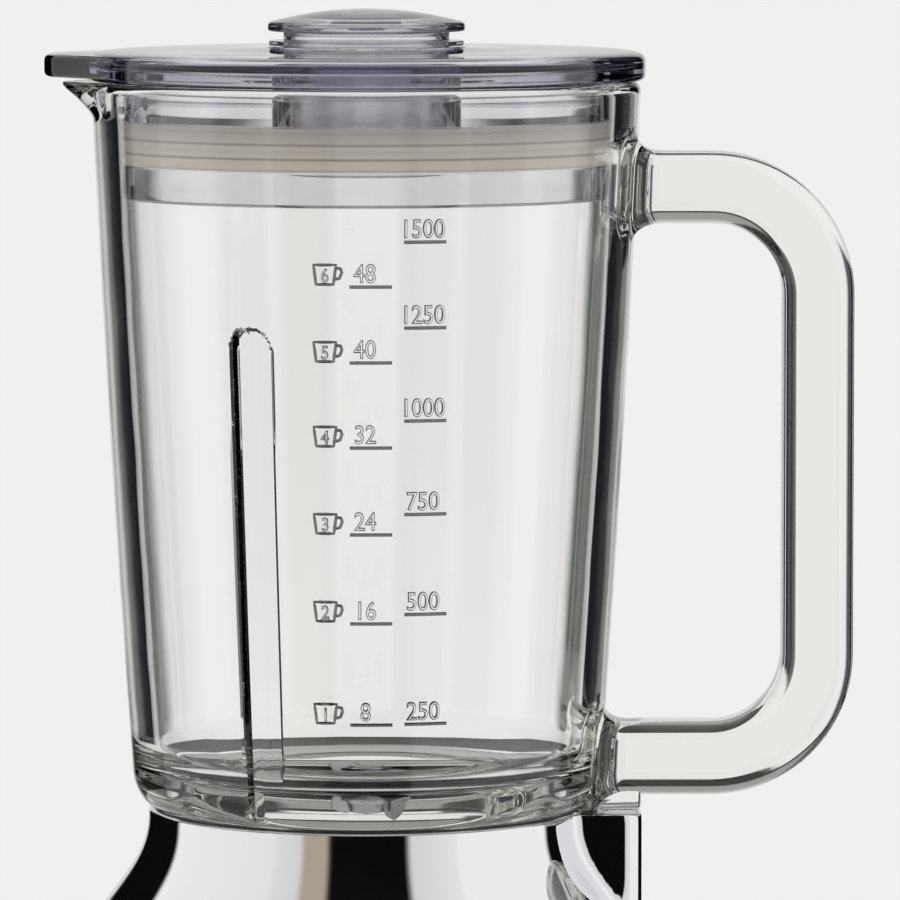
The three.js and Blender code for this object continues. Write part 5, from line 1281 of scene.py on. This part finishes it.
# The handle is a bar of the same glass with soft corners; both its roots swell where they run into the wall.
GRIP_REACH = 112.6
BEND_RADIUS = 26.5
BEND_STEPS = 20
UPPER_HEIGHT = 155.2
LOWER_HEIGHT = 12.3
BAR_THICKNESS = 17.6
BAR_WIDTH = 23.0
BAR_CORNER = 6.5
BAR_ROWS = 4
BAR_CORNER_STEPS = 8
ROOT_DEPTH = 3.6
ROOT_FLARE = 4.5
ROOT_LENGTH = 6.0
ROOT_STEPS = 10


def bar_section(swell):
    """Corners of the handle's section, as (across, sideways), with each side let out by a swell."""
    half_x = BAR_THICKNESS / 2 + swell
    half_y = BAR_WIDTH / 2 + swell
    spots = []
    for k, (side_x, side_y) in enumerate([(1, 1), (-1, 1), (-1, -1), (1, -1)]):
        middle = Vector((side_x * (half_x - BAR_CORNER), side_y * (half_y - BAR_CORNER)))
        for t in spread(k * QUARTER_TURN, (k + 1) * QUARTER_TURN, BAR_CORNER_STEPS):
            spots.append(middle + Vector((math.cos(t), math.sin(t))) * BAR_CORNER)
    return spots


def glass_handle():
    """A section extruded from the upper root, spun round each bend and run into the lower root."""
    upper_wall = jug_outside(UPPER_HEIGHT)
    lower_wall = jug_outside(LOWER_HEIGHT)
    bend_x = GRIP_REACH - BEND_RADIUS
    start = upper_wall - ROOT_DEPTH
    spots = [(start, spot.y, UPPER_HEIGHT + spot.x) for spot in bar_section(ROOT_FLARE)]
    piece = point_by_point("handle", spots, closes=True)
    bpy.ops.mesh.edge_face_add()

    def run(distance, swell_from, swell_to, direction, height):
        bpy.ops.mesh.extrude_region_move(
            TRANSFORM_OT_translate={"value": (direction * distance * MM, 0, 0)}
        )
        grow = [(half + swell_to) / (half + swell_from) for half in (BAR_THICKNESS / 2, BAR_WIDTH / 2)]
        bpy.ops.transform.resize(value=(1, grow[1], grow[0]), center_override=(0, 0, height * MM))

    flare = [
        (ROOT_LENGTH * (1 - math.cos(t)), ROOT_FLARE * (1 - math.sin(t)))
        for t in spread(0, QUARTER_TURN, ROOT_STEPS)
    ]
    run(ROOT_DEPTH, ROOT_FLARE, ROOT_FLARE, 1, UPPER_HEIGHT)
    for (from_x, before), (to_x, after) in zip(flare, flare[1:]):
        run(to_x - from_x, before, after, 1, UPPER_HEIGHT)
    run(bend_x - upper_wall - ROOT_LENGTH, 0, 0, 1, UPPER_HEIGHT)
    for height in (UPPER_HEIGHT - BEND_RADIUS, LOWER_HEIGHT + BEND_RADIUS):
        bpy.ops.mesh.spin(
            steps=BEND_STEPS, angle=-QUARTER_TURN, center=(bend_x * MM, 0, height * MM), axis=(0, 1, 0)
        )
        if height > JUG_HEIGHT / 2:
            drop = (UPPER_HEIGHT - LOWER_HEIGHT - 2 * BEND_RADIUS) / BAR_ROWS
            for _ in range(BAR_ROWS):
                bpy.ops.mesh.extrude_region_move(TRANSFORM_OT_translate={"value": (0, 0, -drop * MM)})
    run(bend_x - lower_wall - ROOT_LENGTH, 0, 0, -1, LOWER_HEIGHT)
    flare.reverse()
    for (from_x, before), (to_x, after) in zip(flare, flare[1:]):
        run(from_x - to_x, before, after, -1, LOWER_HEIGHT)
    run(ROOT_DEPTH, ROOT_FLARE, ROOT_FLARE, -1, LOWER_HEIGHT)
    finish_mesh()
    for vertex in piece.data.vertices:
        x, y, height = [c / MM for c in vertex.co]
        wall = jug_outside(UPPER_HEIGHT if height > JUG_HEIGHT / 2 else LOWER_HEIGHT)
        near = min(max(1 - (x - wall) / ROOT_LENGTH, 0), 1)
        lean = jug_outside(height) - wall if x < wall + ROOT_LENGTH else 0
        vertex.co.x += near * (lean + math.sqrt(wall ** 2 - y ** 2) - wall) * MM
    return piece


cut_with(jug, glass_handle(), "UNION")


# The foot pad under the lower root stands on the base's tower and holds down the safety pin.
PAD_LOW = (50.0, -10.0, 0.0)
PAD_HIGH = (68.4, 10.0, 12.0)
TRIM_LOW = (38, -30, -8)
TRIM_HIGH = (130, 30, 0)

foot_pad = block("foot pad", PAD_LOW, PAD_HIGH)
round_edges(foot_pad, FULL)
cut_with(jug, foot_pad, "UNION")
cut_with(jug, block("seat trim", TRIM_LOW, TRIM_HIGH))


# The measuring marks: two columns of plain numbers over their lines, and a small cup outline with a number
# for each full cup. The press leaves them proud of the wall, with soft edges that draw them as dark lines,
# helped by a dark painted shade on their flanks in the glass material.
MARK_PROUD = 0.6
MARK_DEPTH = 0.55
MARK_SOFTNESS = 0.34
LINE_HALF_HEIGHT = 0.42
LINE_PROUD = 0.5
LINE_STEPS = 6
NUMBER_SIZE = 6.3
NUMBER_RISE = 1.1
NUMBER_SQUEEZE = 0.86
CUP_NUMBER_SIZE = 4.6
CUP_NUMBER_DROP = 1.5
CUP_WIRE = 0.38
LEFT_MARKS = ((134.3, "48"), (115.9, "40"), (95.2, "32"), (74.0, "24"), (52.2, "16"), (27.3, "8"))
RIGHT_MARKS = ((145.1, "1500"), (124.3, "1250"), (101.7, "1000"), (78.9, "750"), (54.4, "500"), (27.4, "250"))
CUP_MARKS = ((137.0, "6"), (118.3, "5"), (97.7, "4"), (76.4, "3"), (54.9, "2"), (29.8, "1"))
LEFT_MIDDLE = 0.3
LEFT_LINE = (-3.4, 6.8)
RIGHT_MIDDLE = 14.2
RIGHT_LINE = (9.7, 19.8)
CUP_MIDDLE = -9.4
CUP_BODY = ((-2.7, 2.6), (-2.1, -2.1), (2.1, -2.1), (2.7, 2.6))
CUP_HANDLE = ((2.5, 1.9), (3.9, 1.7), (4.1, 0.8), (3.6, -0.6), (2.3, -0.9))
FLANK_LEVELS = (0.04, 0.57)
FLANK_FRONT = 54
CLEAR = (1.0, 1.0, 1.0, 1.0)


def raised_number(text, size, middle, base):
    """Soft-edged raised numbers about a middle, on a base, in the plane of x and height."""
    letters = number_solid(text, size, -MARK_DEPTH, MARK_PROUD, MARK_SOFTNESS)
    for vertex in letters.data.vertices:
        x, y, z = vertex.co
        vertex.co = (x * NUMBER_SQUEEZE + middle * MM, z, y + base * MM)
    return letters


def raised_line(left, right, height):
    """A soft-edged raised line, extruded in steps so that it can follow the wall."""
    section = soft_outline([
        (-MARK_DEPTH, -LINE_HALF_HEIGHT), (LINE_PROUD, -LINE_HALF_HEIGHT, MARK_SOFTNESS),
        (LINE_PROUD, LINE_HALF_HEIGHT, MARK_SOFTNESS), (-MARK_DEPTH, LINE_HALF_HEIGHT),
    ])
    line = point_by_point("line", [(left, proud, height + rise) for proud, rise in section], closes=True)
    bpy.ops.mesh.edge_face_add()
    for _ in range(LINE_STEPS):
        bpy.ops.mesh.extrude_region_move(
            TRANSFORM_OT_translate={"value": ((right - left) / LINE_STEPS * MM, 0, 0)}
        )
    finish_mesh()
    return line


def raised_wire(route, closes, middle, height):
    """A round raised wire along a route of (x, height) in millimetres."""
    line = point_by_point("wire", [(middle + x, 0, height + rise) for x, rise in route], closes)
    bpy.ops.mesh.subdivide(number_cuts=3)
    bpy.ops.object.mode_set(mode="OBJECT")
    bpy.ops.object.convert(target="CURVE")
    line.data.bevel_depth = CUP_WIRE * MM
    line.data.bevel_resolution = 2
    line.data.use_fill_caps = True
    bpy.ops.object.convert(target="MESH")
    bpy.ops.object.mode_set(mode="EDIT")
    finish_mesh()
    return line


def press_marks(marks):
    """Joins flat marks, whose depth runs along y, bends them on to the wall and joins them to the jug."""
    mark = joined(marks)
    for vertex in mark.data.vertices:
        x, proud, height = [c / MM for c in vertex.co]
        wall = jug_outside(height)
        angle = math.atan2(-math.sqrt(wall ** 2 - x ** 2), x)
        vertex.co = Vector(polar(wall + proud, angle, height)) * MM
    bpy.ops.object.mode_set(mode="EDIT")
    finish_mesh()
    cut_with(jug, mark, "UNION")


numbers = []
for column, middle, ends in ((LEFT_MARKS, LEFT_MIDDLE, LEFT_LINE), (RIGHT_MARKS, RIGHT_MIDDLE, RIGHT_LINE)):
    for height, text in column:
        numbers.append(raised_number(text, NUMBER_SIZE, middle, height + NUMBER_RISE))
        numbers.append(raised_line(*ends, height))
cup_handles = []
for height, text in CUP_MARKS:
    numbers.append(raised_number(text, CUP_NUMBER_SIZE, CUP_MIDDLE, height - CUP_NUMBER_DROP))
    numbers.append(raised_wire(CUP_BODY, True, CUP_MIDDLE, height))
    cup_handles.append(raised_wire(CUP_HANDLE, False, CUP_MIDDLE, height))
press_marks(numbers)
press_marks(cup_handles)


def see_through(material, tree, place, grain, depth, colour, ior, absorbed, density):
    """Ends the material of a clear moulding with the waves of its surface and the tint of its mass."""
    waves = add_node(tree, "TexNoise", inputs={"Vector": place, "Scale": 1 / (grain * MM), "Detail": 1.0})
    shader = add_node(tree, "BsdfPrincipled", inputs={
        "Base Color": colour,
        "Roughness": 0.0,
        "IOR": ior,
        "Transmission Weight": 1.0,
        "Normal": add_node(tree, "Bump", inputs={"Height": waves, "Distance": depth * MM}),
    })
    volume = add_node(tree, "VolumeAbsorption", inputs={"Color": (*absorbed, 1.0), "Density": density})
    add_node(tree, "OutputMaterial", inputs={"Surface": shader, "Volume": volume})
    return material


def pressed_glass():
    """Soda-lime glass: clear across the wall and green along it. The flanks of the measuring marks are tinted
    with a dark painted shade, which draws them as darker lines than the polished wall."""
    material, tree, place = new_material("pressed soda-lime glass")

    # The flanks of the marks lie where the surface stands a little proud of the plain wall, in front; the
    # glass gets a dark painted shade there
    x, y, z = add_node(tree, "SeparateXYZ", inputs={0: place}).node.outputs
    flat = add_node(tree, "CombineXYZ", inputs={0: x, 1: y})
    reach = add_node(tree, "VectorMath", {"operation": "LENGTH"}, {0: flat}, "Value")
    share = add_node(tree, "MapRange", {"clamp": False}, {
        0: z, LOW: (JUG_SEAT + HEEL_CORNER[1]) * MM, HIGH: (JUG_SEAT + JUG_HEIGHT) * MM,
    })
    rest = add_node(tree, "Math", {"operation": "SUBTRACT"}, {0: 1.0, 1: share})
    swell = add_node(tree, "Math", {"operation": "MULTIPLY"}, {0: share, 1: rest})
    cone = add_node(tree, "Math", {"operation": "MULTIPLY_ADD"}, {
        0: share, 1: (RIM_RADIUS - HEEL_RADIUS) * MM, 2: HEEL_RADIUS * MM,
    })
    wall = add_node(tree, "Math", {"operation": "MULTIPLY_ADD"}, {0: swell, 1: 4 * WALL_SWELL * MM, 2: cone})
    proud = add_node(tree, "Math", {"operation": "SUBTRACT"}, {0: reach, 1: wall})
    painted_flank_shade = 1.0
    for value, test, level in (
        (proud, "GREATER_THAN", FLANK_LEVELS[0]), (proud, "LESS_THAN", FLANK_LEVELS[1]),
        (y, "LESS_THAN", -FLANK_FRONT),
    ):
        holds = add_node(tree, "Math", {"operation": test}, {0: value, 1: level * MM})
        painted_flank_shade = add_node(tree, "Math", {"operation": "MULTIPLY"}, {0: painted_flank_shade, 1: holds})
    # Painted shade: the flanks of the marks are tinted dark grey, so that they draw as dark lines
    colour = add_node(tree, "Mix", COLOURS, {SHARE: painted_flank_shade, FROM: CLEAR, TO: tone("343834")}, MIXED)
    return see_through(
        material, tree, place, grain=26, depth=0.08, colour=colour, ior=1.52,
        absorbed=(0.34, 0.42, 0.2), density=2.5,
    )


glass = pressed_glass()
finished(jug, "jug", "glass", glass, "glass_jug", angle=32, place=SEAT)


# The lid: a clear moulding with a deep skirt, a filler tube and a tongue that covers the spout.
# The plastic has a faint smoky violet tint, which gathers along the rim where the light runs lengthwise.
LID_SEAT = 356.8
LID_RADIUS = 69.5
LID_RIM = 7.2
LID_CROWN = 8.0
LID_BOSS_RADIUS = 24.3
LID_BOSS_TOP = 8.4
LID_PLATE = 3.8
LID_ROUNDINGS = (1.6, 2.2, 6)
LID_SLOPE = 4
LID_SIDE_DROP = 0.6
LID_MIDDLE_DROP = 0.3
LID_BOSS_STEP = 0.6
SKIRT_OUTER = 60.6
SKIRT_INNER = 57.9
SKIRT_DEPTH = 28.8
TUBE_BORE = 21.2
TUBE_OUTER = 23.6
TUBE_DEPTH = 23.1
GROOVE_LEVELS = (-20.5, -9.3)
GROOVE_FLOOR = 59.4
TONGUE_REACH = 80
TONGUE_TIP = 10
TONGUE_ROUNDINGS = (5, 1.4)
TONGUE_LEVELS = (1, 6.6)
TONGUE_ROOT_RADIUS = 68.5
TONGUE_ROOT_ANGLE = 30 * DEGREE

# Styrene-acrylonitrile: glass-clear with a smoky violet tint
clear_plastic = see_through(
    *new_material("clear smoky SAN moulding"), grain=30, depth=0.04, colour=CLEAR, ior=1.5,
    absorbed=(0.3, 0.29, 0.47), density=36.0,
)
ceiling = LID_CROWN - LID_PLATE
low, high = GROOVE_LEVELS
edge_low, edge_high, slope = LID_ROUNDINGS
lid = turned("lid_moulding", [
    (TUBE_BORE, -TUBE_DEPTH, PLAIN), (TUBE_OUTER, -TUBE_DEPTH, PLAIN), (TUBE_OUTER, ceiling, SOFT),
    (SKIRT_INNER, ceiling - SOFT, SOFT), (SKIRT_INNER, -SKIRT_DEPTH, ROUND),
    (SKIRT_OUTER, -SKIRT_DEPTH, ROUND),
    (SKIRT_OUTER, low, KEEN), (GROOVE_FLOOR, low, FINE), (GROOVE_FLOOR, high, FINE),
    (SKIRT_OUTER, high, KEEN), (SKIRT_OUTER, 0, SMALL), (LID_RADIUS, 0, edge_low),
    (LID_RADIUS, LID_RIM - LID_SIDE_DROP, edge_high), (LID_RADIUS - LID_SLOPE, LID_RIM, FULL),
    ((LID_RADIUS + LID_BOSS_RADIUS) / 2, LID_CROWN - LID_MIDDLE_DROP, slope),
    (LID_BOSS_RADIUS + LID_BOSS_STEP, LID_CROWN, FINE), (LID_BOSS_RADIUS, LID_BOSS_TOP, KEEN),
    (TUBE_BORE, LID_BOSS_TOP, SMALL),
], sides=192)
tip_rounding, edge_rounding = TONGUE_ROUNDINGS
root_x, root_y, _ = polar(TONGUE_ROOT_RADIUS, TONGUE_ROOT_ANGLE)
tongue = plate_from("tongue", soft_outline([
    (-root_x, root_y), (-root_x, -root_y),
    (-TONGUE_REACH, -TONGUE_TIP, tip_rounding), (-TONGUE_REACH, TONGUE_TIP, tip_rounding),
], steps=6), *TONGUE_LEVELS)
round_edges(tongue, edge_rounding)
cut_with(lid, tongue, "UNION")
finished(lid, "lid", "clear_plastic", clear_plastic, "lid", angle=30, place=(0, 0, LID_SEAT))


# The gasket: a ring of pale liquid silicone with three fins that wipe the inside of the jug.
# Its pale tint gets a faint painted glow, dark bands of painted shade in the grooves between the fins,
# and a tone that darkens towards the top.
GASKET_INNER = 59.7
GASKET_BODY = 60.4
GASKET_FIN = 61.0
GASKET_TOP = -9.6
GASKET_HEIGHT = 10.6
FIN_HEIGHT = 1.6
FIN_COUNT = 3
GASKET_LEVELS = (336.6, 347.2)
# The gasket's tone by height: dark bands of painted shade in the grooves between the fins, and a tone that
# darkens towards the top
GASKET_TONES_AND_PAINTED_SHADE = [
    (0.0, "ebe0d2"), (0.25, "e8dccd"), (0.29, "908c86"), (0.34, "e4dcd2"), (0.58, "dcd5cc"), (0.62, "93908b"),
    (0.67, "d3cec7"), (1.0, "bfbab4"),
]


def milky_silicone():
    material, tree, place = new_material("milky silicone with painted glow and shade")
    cloud = add_node(tree, "TexNoise", inputs={"Vector": place, "Scale": 1 / (9 * MM)})
    height = add_node(tree, "SeparateXYZ", inputs={0: place}, output="Z")
    low, high = GASKET_LEVELS
    rings = add_node(tree, "ValToRGB", inputs={
        0: add_node(tree, "MapRange", inputs={0: height, LOW: low * MM, HIGH: high * MM}),
    })
    set_stops(rings.node, GASKET_TONES_AND_PAINTED_SHADE)
    clouded = add_node(tree, "Mix", COLOURS, {SHARE: cloud, FROM: rings, TO: tone("e8e0d4")}, MIXED)
    tint = add_node(tree, "Mix", COLOURS, {SHARE: 0.25, FROM: rings, TO: clouded}, MIXED)
    shader = add_node(tree, "BsdfPrincipled", inputs={
        "Base Color": tint,
        "Roughness": add_node(tree, "MapRange", inputs={0: cloud, NEW_LOW: 0.38, NEW_HIGH: 0.48}),
        # A painted glow: the silicone gives off a little light of its own colour
        "Emission Color": tint,
        "Emission Strength": 0.14,
    })
    add_node(tree, "OutputMaterial", inputs={"Surface": shader})
    return material


silicone = milky_silicone()
gasket_low = GASKET_TOP - GASKET_HEIGHT
gasket_corners = [(GASKET_INNER, gasket_low)]
for i in range(FIN_COUNT):
    low = gasket_low + i * (GASKET_HEIGHT - FIN_HEIGHT) / (FIN_COUNT - 1)
    high = low + FIN_HEIGHT
    gasket_corners += [
        (GASKET_BODY, low, KEEN), (GASKET_FIN, (low + high) / 2, FINE), (GASKET_BODY, high, KEEN),
    ]
gasket_corners.append((GASKET_INNER, GASKET_TOP))
gasket = turned("lid_gasket_silicone", gasket_corners, sides=192)
finished(gasket, "lid", "silicone", silicone, "lid_gasket", place=(0, 0, LID_SEAT))
dress(silicone, "blade_seal")


# The filler cap: a clear cup turned upside down, with a domed finger disc, that drops into the tube.
CAP_SEAT = 365.5
CAP_NECK = 20.7
CAP_NECK_WALL = 2
CAP_NECK_DEPTH = 28
CAP_FLANGE = (24.3, 1.1)
CAP_DISC = 24.6
CAP_DISC_LOW = 3.5
CAP_DISC_EDGE = 5.6
CAP_DOME_TOP = 9.0
CAP_DOME_START = 0.06
CAP_DOME_ROWS = 12
CAP_ROOF = 5.1

dome = [
    (CAP_DISC * (1 - share), CAP_DISC_EDGE + (CAP_DOME_TOP - CAP_DISC_EDGE) * (1 - (1 - share) ** 2))
    for share in spread(CAP_DOME_START, 1, CAP_DOME_ROWS)
]
cap_bore = CAP_NECK - CAP_NECK_WALL
flange_radius, flange_top = CAP_FLANGE
filler_cap = turned("filler_cap_moulding", [
    (0, CAP_ROOF), (cap_bore, CAP_ROOF, FULL), (cap_bore, -CAP_NECK_DEPTH, PLAIN),
    (CAP_NECK, -CAP_NECK_DEPTH, PLAIN), (CAP_NECK, 0, KEEN), (flange_radius, 0, KEEN),
    (flange_radius, flange_top, FINE), (CAP_NECK, flange_top, SMALL), (CAP_NECK, CAP_DISC_LOW, MILD),
    (CAP_DISC, CAP_DISC_LOW, PLAIN), (CAP_DISC, CAP_DISC_EDGE, ROUND), *dome,
])
finished(filler_cap, "filler", "clear_plastic", clear_plastic, "filler_cap", angle=30, place=(0, 0, CAP_SEAT))


# The blade unit: a black moulded carrier and its threaded collar, which clamps it and a silicone seal to the
# neck under the jug's floor. Eight round lugs let a hand turn the collar.
CARRIER_HUB = 12
CARRIER_TOP = -9
CARRIER_FLANGE = (36, -22.8, -20.5)
CARRIER_DISH = (27, -17.5)
CARRIER_FILLET = 2
BUSH_SPACE = 7.0
SEAL_SPACE = (8.3, -12.3)
HUB_BOTTOM = -27
COLLAR_BORE = 37.7
COLLAR_RADIUS = 43
COLLAR_LIP = 30
COLLAR_LEVELS = (-26.1, -23.1, -5)
LUG_COUNT = 8
LUG_RADIUS = 4
LUG_REACH = 42
LUG_SET_BACK = (0.2, 0.3)

flange_radius, flange_low, flange_top = CARRIER_FLANGE
dish_radius, dish_top = CARRIER_DISH
seal_radius, seal_low = SEAL_SPACE
carrier = turned("blade_carrier_abs", [
    (BUSH_SPACE, HUB_BOTTOM, SMALL), (CARRIER_HUB, HUB_BOTTOM, SOFT), (CARRIER_HUB, flange_low, WIDE),
    (flange_radius, flange_low, SMALL), (flange_radius, flange_top, SMALL),
    (dish_radius, flange_top, CARRIER_FILLET), (CARRIER_HUB, dish_top, CARRIER_FILLET),
    (CARRIER_HUB, CARRIER_TOP, WIDE), (seal_radius, CARRIER_TOP, FINE), (seal_radius, seal_low),
    (BUSH_SPACE, seal_low),
])
finished(carrier, "jug", "black_plastic", black_abs, "blade_carrier", angle=32, place=SEAT)

low, lip_top, top = COLLAR_LEVELS
collar = turned("collar_ring_abs", [
    (COLLAR_LIP, low, PLAIN), (COLLAR_RADIUS, low, WIDE), (COLLAR_RADIUS, top, SOFT),
    (COLLAR_BORE, top, SMALL), (COLLAR_BORE, lip_top), (COLLAR_LIP, lip_top, SMALL),
])
lug_low = low + LUG_SET_BACK[0]
lug_top = top - LUG_SET_BACK[1]
for i in range(LUG_COUNT):
    lug = turned("lug", [
        (0, lug_low), (LUG_RADIUS, lug_low, SOFT), (LUG_RADIUS, lug_top, SOFT), (0, lug_top),
    ], sides=40)
    place_at(lug, polar(LUG_REACH, i * FULL_TURN / LUG_COUNT))
    cut_with(collar, lug, "UNION")
cut_with(collar, post("bore", COLLAR_BORE, lip_top, PAST, sides=128))
finished(collar, "jug", "black_plastic", black_abs, "collar_ring", angle=32, place=SEAT)


# The blades: two pairs of wings punched from stainless steel 1.5 mm thick, bent and ground to an edge, and
# clamped on the spindle between its shoulder and a washer by a domed hexagon nut.
SPINDLE_RADIUS = 3.9
SPINDLE_LEVELS = (-31.2, -6.2, -4.0, 5.7)
SPINDLE_SHOULDER = 6
BLADE_THICKNESS = 1.5
BLADE_HUB = 9
BLADE_BEND_REACH = 8.2
BLADE_ROOT_WIDTH = 14
BLADE_TIP_WIDTH = 8
BLADE_TIP = (1.5, 0.3, 1.2)
BLADE_EDGE = 1.8
BLADE_BURR = 0.12
BLADE_BORE = 4.2
LOWER_BLADE = (-3.7, 28, -8 * DEGREE, 20 * DEGREE)
UPPER_BLADE = (-1.9, 24.5, 32 * DEGREE, 110 * DEGREE)
WASHER = (7, -0.1, 1.0)
NUT_CORNERS = 6.6
NUT_LEVELS = (1.3, 7.7)
NUT_BORE_TOP = 6
NUT_DOME = ((0.2, 3.4, 0.8), (-1.6, 2.6, 0.6), (-2.4, 0.6, 1.2))


def blade_pair(name, node, bottom, reach, bend, turn):
    """A hub plate with two wings; each wing's leading edge is ground back over its top face."""
    length = reach - BLADE_BEND_REACH
    half_root = BLADE_ROOT_WIDTH / 2
    half_tip = BLADE_TIP_WIDTH / 2
    back, out, up = BLADE_TIP
    outline = [
        (0, -half_root), (length - back, -half_tip - out), (length, -half_tip + up),
        (length - half_tip, half_tip), (0, half_root),
    ]
    pair = post(name, BLADE_HUB, bottom, bottom + BLADE_THICKNESS, sides=64)
    for side in (0, 1):
        wing = plate_from("wing", outline, 0, BLADE_THICKNESS)
        for vertex in wing.data.vertices:
            if vertex.co.z > BLADE_THICKNESS / 2 * MM and vertex.co.y < 0:
                vertex.co.y += BLADE_EDGE * MM
        round_edges(wing, BLADE_BURR, segments=1, angle=20)
        hinge = BLADE_THICKNESS if bend < 0 else 0
        place_at(wing, (0, 0, -hinge))
        place_at(wing, (BLADE_BEND_REACH, 0, bottom + hinge), Matrix.Rotation(-bend, 4, "Y"))
        place_at(wing, turn=Matrix.Rotation(side * math.pi, 4, "Z"))
        cut_with(pair, wing, "UNION")
    cut_with(pair, post("bore", BLADE_BORE, bottom - PAST, bottom + BLADE_THICKNESS + PAST, sides=32))
    finished(pair, "blades", "steel", steel, node, angle=25, place=SEAT, turn=Matrix.Rotation(turn, 4, "Z"))


blade_pair("lower_blade_steel", "lower_blade", *LOWER_BLADE)
blade_pair("upper_blade_steel", "upper_blade", *UPPER_BLADE)

low, shoulder_low, shoulder_top, top = SPINDLE_LEVELS
spindle = turned("blade_spindle_steel", [
    (0, low), (SPINDLE_RADIUS, low, FINE), (SPINDLE_RADIUS, shoulder_low),
    (SPINDLE_SHOULDER, shoulder_low, FINE), (SPINDLE_SHOULDER, shoulder_top, FINE),
    (SPINDLE_RADIUS, shoulder_top), (SPINDLE_RADIUS, top, SMALL), (0, top),
], sides=64)
finished(spindle, "blades", "steel", steel, "blade_spindle", place=SEAT)

washer_radius, low, top = WASHER
washer = turned("blade_washer_steel", [
    (BLADE_BORE, low, FAINT), (washer_radius, low, KEEN), (washer_radius, top, KEEN),
    (BLADE_BORE, top, FAINT),
], sides=64)
finished(washer, "blades", "steel", steel, "blade_washer", place=SEAT)

low, top = NUT_LEVELS
nut = post("blade_nut_steel", NUT_CORNERS, low, top, sides=6)
dome = turned("dome", [
    (0, low - PAST), (NUT_CORNERS + NUT_DOME[0][0], low - PAST),
    *[(NUT_CORNERS + out, top - drop, rounding) for out, drop, rounding in NUT_DOME], (0, top),
], sides=64, steps=6)
cut_with(nut, dome, "INTERSECT")
cut_with(nut, post("bore", BLADE_BORE, low - PAST, NUT_BORE_TOP, sides=32))
finished(nut, "blades", "steel", steel, "blade_nut", angle=28, place=SEAT)


# The drive socket: a rubber cup under the spindle, moulded round a star-shaped hole that the coupler fills.
SOCKET_RADIUS = 16
SOCKET_LEVELS = (-41.7, -31.5, -27.3)
SOCKET_CLEARANCE = 0.6

low, roof, top = SOCKET_LEVELS
socket = turned("drive_socket_rubber", [
    (0, low), (SOCKET_RADIUS, low, SOFT), (SOCKET_RADIUS, top, FULL), (0, top),
], sides=96)
cut_with(socket, plate_from("star hole", star_spots(SOCKET_CLEARANCE), low - PAST, roof))
cut_with(socket, post("spindle hole", SPINDLE_RADIUS + FIT, roof - PAST, top + PAST))
finished(socket, "blades", "rubber", rubber, "drive_socket", angle=32, place=SEAT)
